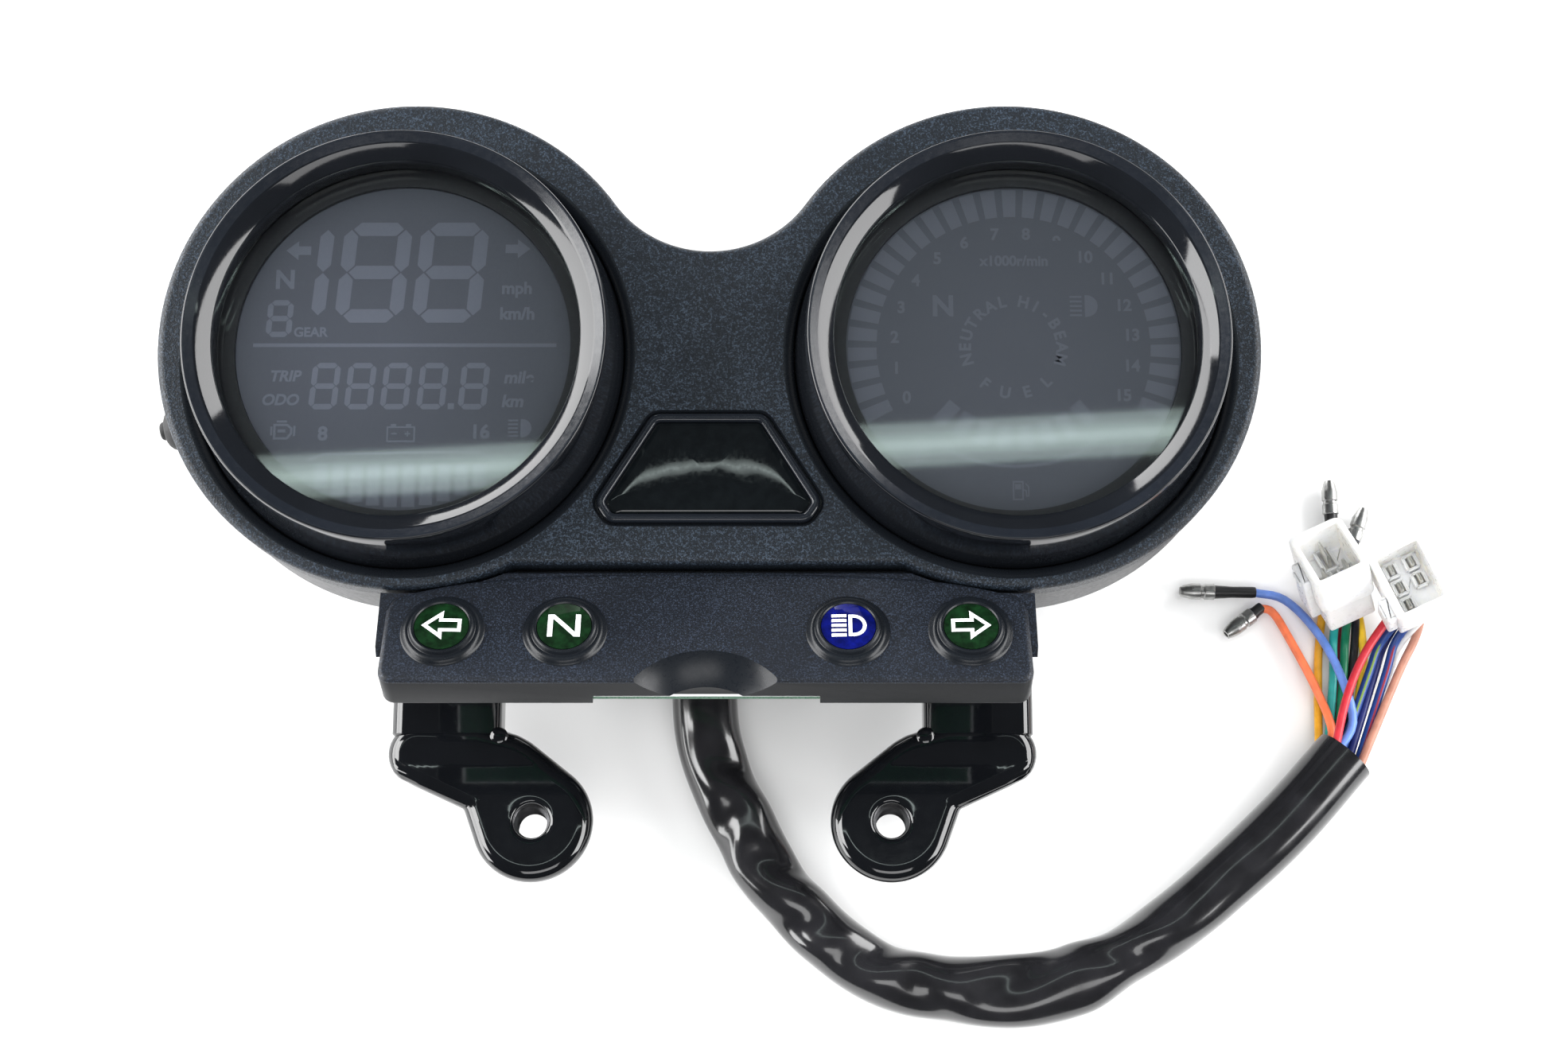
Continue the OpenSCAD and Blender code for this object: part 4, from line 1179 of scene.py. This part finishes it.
def indicator_panel():
    """The sloping strip: a grained face with smooth walls, a scoop in its front edge and four bosses."""
    levels = [(1.5, -PANEL_WALL), *rounded_levels(-PANEL_WALL, 0, 0.5, 1.1, 5)]
    finishes = [PANEL_GRAIN, COLLAR_PLASTIC, SHADED_WALL_PLASTIC]
    panel = slab("indicator_panel_face", face_outline(), levels, finishes, ON_PANEL)
    cutters = [scoop_ball()]
    well = [(LAMP_R + 0.15, -12), (LAMP_R + 0.15, 3)]
    for x in LAMP_X:
        cutters.append(revolve("well", well, COLLAR_PLASTIC, at_lamp(x), 64))
    cutters.append(block("notch", (47.2, 6, 6), (0, -PANEL_D - 0.6, -PANEL_WALL), PANEL_GRAIN, ON_PANEL, 0.2))
    cut(panel, cutters)
    # The scoop takes the smooth collar plastic; the walls below the face take the darker wall plastic, which
    # is painted shade
    from_face = ON_PANEL.inverted()
    for polygon in panel.data.polygons:
        spot = from_face @ polygon.center
        if (spot - SCOOP_AT).length < SCOOP_R + 0.2:
            polygon.material_index = 1
        elif spot.z < -1.3:
            polygon.material_index = 2
    parts = [panel, panel_neck()]
    for x in LAMP_X:
        parts.append(revolve("boss", BOSS_PROFILE, COLLAR_PLASTIC, at_lamp(x), 96, loop=True, sharp_angle=60))
    return stands_for(join("indicator_panel_cover", parts), "indicator_panel")


def lens_rise(r):
    """Height of a lamp lens above the panel's face, at r from its middle."""
    return 1.62 + 0.55 * math.sqrt(max(0, 1 - (r / (LAMP_R + 0.4)) ** 2))


def lamp_lens(x, name, material, shapes):
    """A low dome of coloured resin in its boss, with its icon following the dome."""
    place = at_lamp(x)
    radii = [LAMP_R * (1 - i / 12) for i in range(12)] + [0.05]
    profile = [(6.3, -3.3), (6.3, -2.4), (LAMP_R, -2.4), (LAMP_R, 1.5)]
    profile += [(r, lens_rise(r)) for r in radii]
    body = revolve(name + "_dome", profile, material, place, 72, sharp_angle=50)
    icon = flat_mesh(name + "_icon", shapes, WHITE_INK, place, 0, cuts=5)
    back = place.inverted()
    for vertex in icon.data.vertices:
        local = back @ vertex.co
        lift = 0.03 if local.z < 0.01 else 0.06
        local.z = lens_rise(math.hypot(local.x, local.y)) + lift
        vertex.co = place @ local
    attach(icon, "cluster")
    return stands_for(body, name)


def arrow_icon(direction):
    """The outline of a turn arrow."""
    corners = [(-4.1, 0.1), (0.2, 3.5), (0.2, 1.65), (4.1, 1.65), (4.1, -1.5), (0.2, -1.5), (0.2, -3.3)]
    inner = [(direction * -x, y) for x, y in inset(corners[::-1], 0.35)]
    return stroke(inner, 0.78, closed=True)


def letter_n_icon():
    diagonal = [(-3.4, 2.75), (-2.1, 2.75), (3.4, -2.75), (2.1, -2.75)]
    return [box_shape(-2.87, 0, 1.06, 5.5), diagonal, box_shape(2.87, 0, 1.06, 5.5)]


def beam_lamp_icon():
    lamp = [(0.4, 2.3)] + [(x, y) for x, y in arc((1.1, 0), 2.3, 90, -90, 12)] + [(0.4, -2.3)]
    bars = [box_shape(-1.95, 2.4 - 1.2 * i, 3.1, 0.72) for i in range(5)]
    return stroke(lamp, 0.75, closed=True) + bars


# --- Badge ---


def badge_frame():
    """A rounded rim round the badge's pocket."""
    crown = [(0, 61), (0, 62.2), (0.2, 62.6), (0.55, 62.85), (1.0, 62.9), (1.5, 62.8), (1.8, 62.55),
             (1.95, 62.1), (1.95, 61)]
    obj = slab("badge_frame_rim", badge_outline(), crown, SATIN_PLASTIC, sharp_angle=45, looped=True)
    return stands_for(obj, "badge_frame")


def badge_dome():
    """A glossy black resin drop: steep at its edge, almost flat and a little uneven inside."""
    outline = inset(badge_outline(), 2.0)
    centre = Vector((0, -26.5))
    rings = [[(x, y, 61.6) for x, y in outline]]
    meniscus_w, crown_h, ripple_h = 1.1, 0.6, 0.006
    steps = 44
    for k in range(steps):
        t = 1 - k / steps
        ring = []
        for x, y in outline:
            p = centre + (Vector((x, y)) - centre) * t
            edge = (Vector((x, y)) - p).length
            meniscus = 1 - math.exp(-((edge / meniscus_w) ** 1.3))
            crown = crown_h * (1 - ((p.y + 25) / 12.5) ** 2 - 0.5 * (p.x / 24) ** 2)
            ripple = ripple_h * math.sin(p.x * 0.9 + 0.4 * p.y) * math.sin(p.y * 0.4 + 1.1) * meniscus
            ring.append((p.x, p.y, 61.9 + 0.35 * meniscus + crown * meniscus + ripple))
        rings.append(ring)
    obj = loft("badge_dome_resin", rings, BADGE_RESIN, sharp_angle=80)
    return stands_for(obj, "badge_dome")


# --- Bracket ---


def channel_section(w, h, r, steps=8):
    """A channel of sheet metal, open below, with an outer corner radius of r."""
    outer = [(-w / 2, -h)] + arc((-w / 2 + r, -r), r, 180, 90, steps) + arc((w / 2 - r, -r), r, 90, 0, steps)
    inner = [(w / 2 - SHEET, -h)] + arc((w / 2 - r, -r), r - SHEET, 0, 90, steps)
    inner += arc((-w / 2 + r, -r), r - SHEET, 90, 180, steps) + [(-w / 2 + SHEET, -h)]
    return outer + [(w / 2, -h)] + inner


def bracket_crossbar():
    """A flat bar with a channel-shaped leg at each end."""
    plate = rounded_corners(box_shape(0, -52, 120, 20), 2, 4)
    parts = [slab("plate", plate, rounded_levels(BRACKET_TOP - SHEET, BRACKET_TOP, 0.6, 0.6, 3), PAINT)]
    for side in (-1, 1):
        section = [(side * LEG_X + x, BRACKET_TOP + z) for x, z in channel_section(LEG_W, LEG_H, 3.6)]
        stations = ((LEG_BACK, 0.5), (LEG_BACK - 0.5, 0), (LEG_FRONT + 0.5, 0), (LEG_FRONT, 0.5))
        rings = [[(x, y, z) for x, z in inset(section[::-1], shrink)][::-1] for y, shrink in stations]
        parts.append(loft("leg", rings, PAINT))
    return stands_for(join("bracket_crossbar_sheet", parts), "bracket_crossbar")


def arm_rise(y):
    return max(0, CREASE_Y - y) * math.tan(ARM_TILT)


ARM_DISCS = [(66, -82.2, 7), (53.6, -82, 6.6), (47.6, -87.3, 10), (66, -82.2, 7)]
TONGUE_DISCS = [(46.8, -88.2, 10.4), (*HOLE, ARM_END_R)]
ARM_STEPS = 240


def arm_circles():
    """Circles that fill the arm's plan: a wide end welded to the leg, an elbow and a round end."""
    circles = []
    for discs in (ARM_DISCS, TONGUE_DISCS):
        for first, second in zip(discs, discs[1:]):
            for i in range(25):
                circles.append([a + (b - a) * i / 24 for a, b in zip(first, second)])
    return circles


def arm_edge(circles, shrink):
    """The arm's outline drawn in by shrink, found along rays from its hole."""
    outline = []
    for k in range(ARM_STEPS):
        ahead = Vector((math.cos(TURN * k / ARM_STEPS), math.sin(TURN * k / ARM_STEPS)))
        reach = 0
        for x, y, r in circles:
            centre = Vector((x - HOLE[0], y - HOLE[1]))
            level = centre.dot(ahead)
            inside = level**2 - centre.length_squared + (r - shrink) ** 2
            if inside > 0:
                reach = max(reach, level + math.sqrt(inside))
        outline.append(Vector(HOLE) + ahead * reach)
    return outline


def hole_edge(r):
    turns = [Matrix.Rotation(-TURN * k / ARM_STEPS, 2) for k in range(ARM_STEPS)]
    return [Vector(HOLE) + Vector((r, 0)) @ turn for turn in turns]


def arm_ring(outline, depth):
    return [(p.x, p.y, BRACKET_TOP + arm_rise(p.y) - depth) for p in outline]


def arm_face(circles, depth, hole_r, shrink):
    """Rings across the arm's flat, from its hole to its rolled rim."""
    near, far = hole_edge(hole_r), arm_edge(circles, shrink)
    return [arm_ring([a.lerp(b, t / 12) for a, b in zip(near, far)], depth) for t in range(13)]


def bracket_arm(name, side):
    """A pressed arm: a flat top, a rolled rim, a short skirt, and a hole with a chamfer."""
    circles = arm_circles()
    bore = ((HOLE_R, SHEET), (HOLE_R, 0.9), (HOLE_R + 0.15, 0.45), (HOLE_R + 0.5, 0.15))
    rings = [arm_ring(hole_edge(r), depth) for r, depth in bore]
    rings += arm_face(circles, 0, 5.2, 3.4)
    rim = ((2.9, 0.06), (1.9, 0.42), (1.0, 1.05), (0.35, 1.95), (0, 3.1), (0, 4.2), (0.15, 4.5), (1.75, 4.5),
           (1.9, 4.2), (1.9, 3.4), (2.2, 2.8), (2.8, SHEET + 0.06))
    rings += [arm_ring(arm_edge(circles, shrink), depth) for shrink, depth in rim]
    rings += arm_face(circles, SHEET, HOLE_R, 3.6)[:0:-1]
    place = on_side(side)
    arm = loft(name + "_pressing", rings, PAINT, place, 60, looped=True)
    angles = [math.radians(20 * i) for i in range(1, 9)]
    blob = [(0.05, -1.6)] + [(2.2 * math.sin(a), -math.cos(a)) for a in angles] + [(0.05, 1.0)]
    weld = revolve("weld", blob, PAINT, place @ Matrix.Translation((47.9, -78.6, 25.3)), 24)
    arm = join(name + "_pressing", [arm, weld])
    finish_mesh(arm.data, 60)
    weigh_normals(arm)
    return stands_for(arm, name)


def hexagon_nut(place):
    """A nut with chamfered corners and a plain bore, as a closed ring."""
    sides = 72
    low, high = NUT_BASE + 0.3, NUT_TOP - 0.3
    chamfered = NUT_HALF_FLAT - 0.3
    rings = []
    for flat, z in ((chamfered, NUT_BASE), (NUT_HALF_FLAT, low), (NUT_HALF_FLAT, high), (chamfered, NUT_TOP)):
        ring = []
        for i in range(sides):
            a = TURN * i / sides
            r = min(flat / math.cos((a + math.pi / 6) % (math.pi / 3) - math.pi / 6), flat * 1.13)
            ring.append((r * math.cos(a), r * math.sin(a), z))
        rings.append(ring)
    bore = ((4.3, NUT_TOP), (3.95, high), (3.95, low), (4.3, NUT_BASE))
    rings += [circle(r, z, sides) for r, z in bore]
    return loft("nut", rings, STEEL, place, looped=True)


def nut_thread(place):
    """A triangular ridge wound up the nut's bore."""
    steps, rise_a_turn, turns = 36, 1.075, 6
    points, faces = [], []
    for step in range(steps * turns + 1):
        a = TURN * step / steps
        z = NUT_BASE - 0.2 + rise_a_turn * step / steps
        for r, rise in ((4.1, 0), (3.4, 0.21), (4.1, 0.42)):
            points.append((r * math.cos(a), r * math.sin(a), z + rise))
    for step in range(steps * turns):
        a = step * 3
        faces += [(a, a + 1, a + 4, a + 3), (a + 1, a + 2, a + 5, a + 4), (a + 2, a, a + 3, a + 5)]
    faces += [(0, 2, 1), tuple(steps * turns * 3 + i for i in range(3))]
    return piece("thread", points, faces, STEEL, place)


def weld_nuts():
    """Hexagon nuts under the arms, with a thread that shows through the hole."""
    parts = []
    for side in (-1, 1):
        place = (on_side(side)
                 @ Matrix.Translation((*HOLE, BRACKET_TOP + arm_rise(HOLE[1])))
                 @ Matrix.Rotation(-ARM_TILT, 4, "X"))
        parts.append(hexagon_nut(place))
        parts.append(nut_thread(place))
    return stands_for(join("weld_nuts_threaded", parts), "weld_nuts")


# --- Mode button ---

BUTTON_Z = 35
BUTTON_TURN = math.radians(190)
# Axes at the middle of the left pod, with z out along the button's stroke
AT_BUTTON = (PLACE @ Matrix.Translation((-HALF_PITCH, 0, BUTTON_Z)) @ Matrix.Rotation(BUTTON_TURN, 4, "Z")
             @ Matrix.Rotation(math.pi / 2, 4, "Y"))


def button_bushing():
    """A rubber dome round the button."""
    profile = [(2.5, 51.4), (5.5, 51.4), (5.5, 54.6), (5.4, 56), (5.0, 57.3), (4.4, 58.4), (3.7, 59.1),
               (3.0, 59.45), (2.6, 59.5), (2.5, 59.3)]
    obj = revolve("button_bushing_dome", profile, RUBBER, AT_BUTTON, 72, loop=True, sharp_angle=50)
    return stands_for(obj, "button_bushing")


def mode_button():
    """A round-headed push rod with a collar that keeps it in."""
    profile = [(0.05, 46.4), (1.2, 46.4), (1.2, 49.4), (3.6, 49.4), (3.6, 51), (2.15, 51), (2.15, 59.9),
               (2.0, 60.4), (1.65, 60.7), (1.2, 60.78), (0.05, 60.6)]
    obj = revolve("mode_button_cap", profile, RUBBER, AT_BUTTON, 48)
    return stands_for(obj, "mode_button", "button")


# --- Harness fittings ---


def cable_grommet():
    """A ribbed rubber boot that tapers onto the sleeve."""
    profile = [(5.6, -8), (8.5, -8), (8.5, -0.1), (10.6, 0), (10.8, 0.3), (10.8, 2.1), (10.5, 2.5)]
    for rib in range(5):
        base = 2.9 + rib * 1.85
        taper = 9.3 - rib * 0.26
        root = taper - 0.75
        profile += [(root, base), (taper, base + 0.35), (taper, base + 1.05), (root, base + 1.35)]
    profile += [(7.9, BOOT_L), (5.7, BOOT_L)]
    obj = revolve("cable_grommet_boot", profile, RUBBER, AT_GLAND, 80, loop=True)
    return stands_for(obj, "cable_grommet")


def connector(name, plug, size, rear_size, tab, blade_spots, collar):
    """An open nylon shroud with a deep mouth, on a smaller rear body, with a collar round each blade."""
    matrix = PLACE @ plug.matrix
    w, d, top = size
    rear_w, rear_d = rear_size
    wall = 1.7
    outline = rounded_corners(box_shape(0, 0, w, d), 2.4, 8)
    levels = [(1.6, 8.4), (0.5, 8.7), (0.1, 9.1), (0, 9.7), (0, top - 0.5), (0.15, top - 0.15), (0.5, top),
              (wall - 0.35, top), (wall, top - 0.4), (wall, 11.4), (wall + 0.4, 11.1)]
    parts = [slab(name + "_shroud", outline, levels, NYLON, matrix)]
    parts.append(block("rear", (rear_w, rear_d, 9.2), (0, 0, 4.6), NYLON, matrix, 0.7))
    parts.append(block("rear_step", (rear_w - 3, rear_d - 3, 1.2), (0, 0, 0.1), NYLON, matrix, 0.4))
    parts.append(block("tab", *tab, NYLON, matrix, 0.6))
    (tab_w, tab_d, tab_h), (tab_x, tab_y, tab_z) = tab
    parts.append(block("tab_step", (tab_w, tab_d * 0.55, 1.6), (tab_x + 0.5, tab_y, tab_z + tab_h / 2 - 1.6),
                       NYLON, matrix, 0.3))
    collar_w, collar_d = collar
    for x, y in blade_spots:
        for side in (-1, 1):
            for size, spot in (((0.7, collar_d, 2.6), (x + side * collar_w / 2, y, 12)),
                               ((collar_w, 0.7, 2.2), (x, y + side * collar_d / 2, 12))):
                parts.append(block("collar", size, spot, NYLON, matrix, 0.2))
    return stands_for(join(name + "_moulding", parts), name)


def blades(name, plug, spots, w, thick, top):
    """Tinned blades with a chamfered tip, standing in the connector's mouth."""
    matrix = PLACE @ plug.matrix
    levels = [(0, 10.2), (0, top - 0.7), (min(0.22, thick * 0.35), top)]
    parts = []
    for x, y in spots:
        spot = matrix @ Matrix.Translation((x, y, 0))
        parts.append(slab("blade", box_shape(0, 0, thick, w), levels, TIN, spot))
    return stands_for(join(name + "_tinned", parts), name)


def along(start, stop):
    """Axes at start, with z towards stop."""
    direction = (Vector(stop) - Vector(start)).normalized()
    return PLACE @ Matrix.Translation(start) @ direction.to_track_quat("Z", "Y").to_matrix().to_4x4()


def bullet_terminals():
    """Crimped male bullets: a barrel with a waist, a tapered nose and a hollow tip."""
    profile = [(0.8, 0), (1.75, 0), (1.9, 0.15), (1.9, 2.3), (1.62, 2.6), (1.62, 3.1), (1.9, 3.4), (1.9, 5.3),
               (1.8, 5.8), (1.45, 7.3), (1.15, 8.1), (0.95, 8.2), (0.72, 8.1), (0.7, 6.0), (0.8, 5.9)]
    parts = []
    for _, start, stop in BULLETS.values():
        place = along(start, stop)
        parts.append(revolve("bullet", profile, NICKEL, place, 40, loop=True))
        parts.append(block("crimp", (0.7, 0.5, 2.0), (0, 1.85, 1.2), NICKEL, place, 0.12))
    return stands_for(join("bullet_terminals_tinned", parts), "bullet_terminals")


def heat_shrink_tubes():
    """Black tubes over the crimps, from the thin wire to the wider terminal."""
    parts = []
    for start, stop, _ in BULLETS.values():
        length = (Vector(stop) - Vector(start)).length
        profile = [(1.02, -0.6), (1.25, -0.5), (1.35, 0.2), (1.35, length * 0.55), (1.5, length * 0.8),
                   (1.62, length + 0.5), (1.3, length + 0.7)]
        parts.append(revolve("shrink", profile, BLACK_SHRINK, along(start, stop), 32, loop=True))
    return stands_for(join("heat_shrink_tubes_fitted", parts), "heat_shrink_tubes")


# --- Making everything ---

front_cowl()
rear_housing()
for side, word in ((-1, "left"), (1, "right")):
    bezel(side, "bezel_" + word)
    lens(side, "lens_" + word)
display_marks(-1, "lcd_left", left_marks(), INK_LEFT)
display_marks(1, "lcd_right", right_marks(), INK_RIGHT)
indicator_panel()
LAMPS = (
    ("turn_left_lens", GREEN_RESIN, arrow_icon(-1)), ("neutral_lens", GREEN_RESIN, letter_n_icon()),
    ("high_beam_lens", BLUE_RESIN, beam_lamp_icon()), ("turn_right_lens", GREEN_RESIN, arrow_icon(1)),
)
for x, lamp in zip(LAMP_X, LAMPS):
    lamp_lens(x, *lamp)
badge_frame()
badge_dome()
bracket_crossbar()
bracket_arm("bracket_arm_left", -1)
bracket_arm("bracket_arm_right", 1)
weld_nuts()
button_bushing()
mode_button()
boot = cable_grommet()
FOUR_BLADES = [(2.6, 3.6), (-2.6, 3.6), (0, -3.4)]
SIX_BLADES = [(2.4, -4.4), (2.4, 0), (2.4, 4.4), (-2.4, -4.4), (-2.4, 0)]
four_way = connector("connector_four_way", FOUR_WAY, size=(13.4, 16.4, 20.2), rear_size=(11.4, 13.6),
                     tab=((2.4, 7, 13.4), (7.2, 0.5, 10.7)), blade_spots=FOUR_BLADES, collar=(3.2, 6.2))
six_way = connector("connector_six_way", SIX_WAY, size=(13.5, 17.4, 20), rear_size=(11.6, 15),
                    tab=((2.6, 6, 12), (7.3, 4, 11)), blade_spots=SIX_BLADES, collar=(2.6, 3.2))
blades_four = blades("blade_terminals_four_way", FOUR_WAY, FOUR_BLADES, 5, 0.8, 17)
blades_six = blades("blade_terminals_six_way", SIX_WAY, SIX_BLADES, 2.2, 0.8, 15)
bullets = bullet_terminals()
shrinks = heat_shrink_tubes()

# CAD nodes that show as they are, with their own materials
CAD_MATERIALS = {
    "case_screws": ZINC, "lens_seals": SEAL_BLACK, "dial_mask_left": MASK_FILM, "dial_mask_right": MASK_FILM,
    "lcd_left": FILM_LEFT, "lcd_right": FILM_RIGHT, "backlight_left": DIFFUSER, "backlight_right": DIFFUSER,
    "circuit_board_left": BOARD_GREEN, "circuit_board_right": BOARD_GREEN, "lamp_housing": HOUSING_WHITE,
    "indicator_board": BOARD_GREEN, "indicator_leds": LED_CREAM, "bracket_grommets": RUBBER,
    "bracket_bolts": ZINC, "mode_switch": RUBBER,
}
for node, material in CAD_MATERIALS.items():
    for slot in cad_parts[node].material_slots:
        slot.material = material

# --- The fittings that the bullet and four-way cords end in ---

FITTINGS = {name: [bullets, shrinks] for name in BULLETS}
FITTINGS |= {name: [four_way, blades_four] for name in ("teal", "green", "black", "yellow")}

# --- Floor and lights ---

FLOOR_SIZE = 6.0
floor_mesh = bpy.data.meshes.new("floor")
floor_corners = [(x, y, 0) for x, y in box_shape(0, 0, FLOOR_SIZE, FLOOR_SIZE)]
floor_mesh.from_pydata(floor_corners, [], [(0, 1, 2, 3)])
floor = new_object("floor", floor_mesh)
floor.location.z = -0.0004
floor_mesh.materials.append(Nodes("floor_white", (0.92, 0.92, 0.92), 0.9).material)

SCENE.view_settings.view_transform = "Standard"
world = bpy.data.worlds.new("studio")
world.use_nodes = True
world.node_tree.nodes["Background"].inputs["Color"].default_value = (0.93, 0.96, 1.0, 1)
world.node_tree.nodes["Background"].inputs["Strength"].default_value = 0.07
SCENE.world = world


def soft_light(name, location, target, size, power, colour=(1, 1, 1)):
    """A rectangular lamp that faces its target."""
    data = bpy.data.lights.new(name, "AREA")
    data.shape = "RECTANGLE"
    data.size, data.size_y = size
    data.energy = power
    data.color = colour
    lamp = new_object(name, data)
    lamp.location = location
    lamp.rotation_euler = (Vector(target) - Vector(location)).to_track_quat("-Z", "Y").to_euler()
    return lamp


soft_light("left_box", (-1.1, 0.45, 0.38), (0, 0.1, 0.08), (3.0, 0.55), 46)
soft_light("right_box", (1.1, 0.23, 0.62), (0, 0.1, 0), (1.75, 0.6), 28)
soft_light("high_left_box", (-1.15, 0.2, 0.95), (0, 0, 0), (0.9, 0.5), 15)
soft_light("front_high_box", (0.1, -0.75, 1.1), (0, -0.1, 0), (0.9, 0.35), 3.5)
overhead = soft_light("overhead_box", (0, 0.1, 1.7), (0, 0, 0), (2.6, 2.4), 36)
overhead.visible_glossy = False

# The tube lamp whose mirror image lies across both lenses
TUBE_START = at(-560, 88, 671)
TUBE_STOP = at(520, 146, 671)
TUBE_L = 1.1
TUBE_COLOUR = (0.86, 1.0, 0.97)
tube_middle = (TUBE_START + TUBE_STOP) / 2
tube_way = TUBE_STOP - TUBE_START
below = tube_middle - Vector((0, 0, 1))
for width, power in ((5, 0.1), (12, 0.16), (22, 0.2)):
    tube = soft_light("tube_lamp", tube_middle, below, (TUBE_L, width * MM), power, TUBE_COLOUR)
    tube.rotation_euler = (0, 0, math.atan2(tube_way.y, tube_way.x))
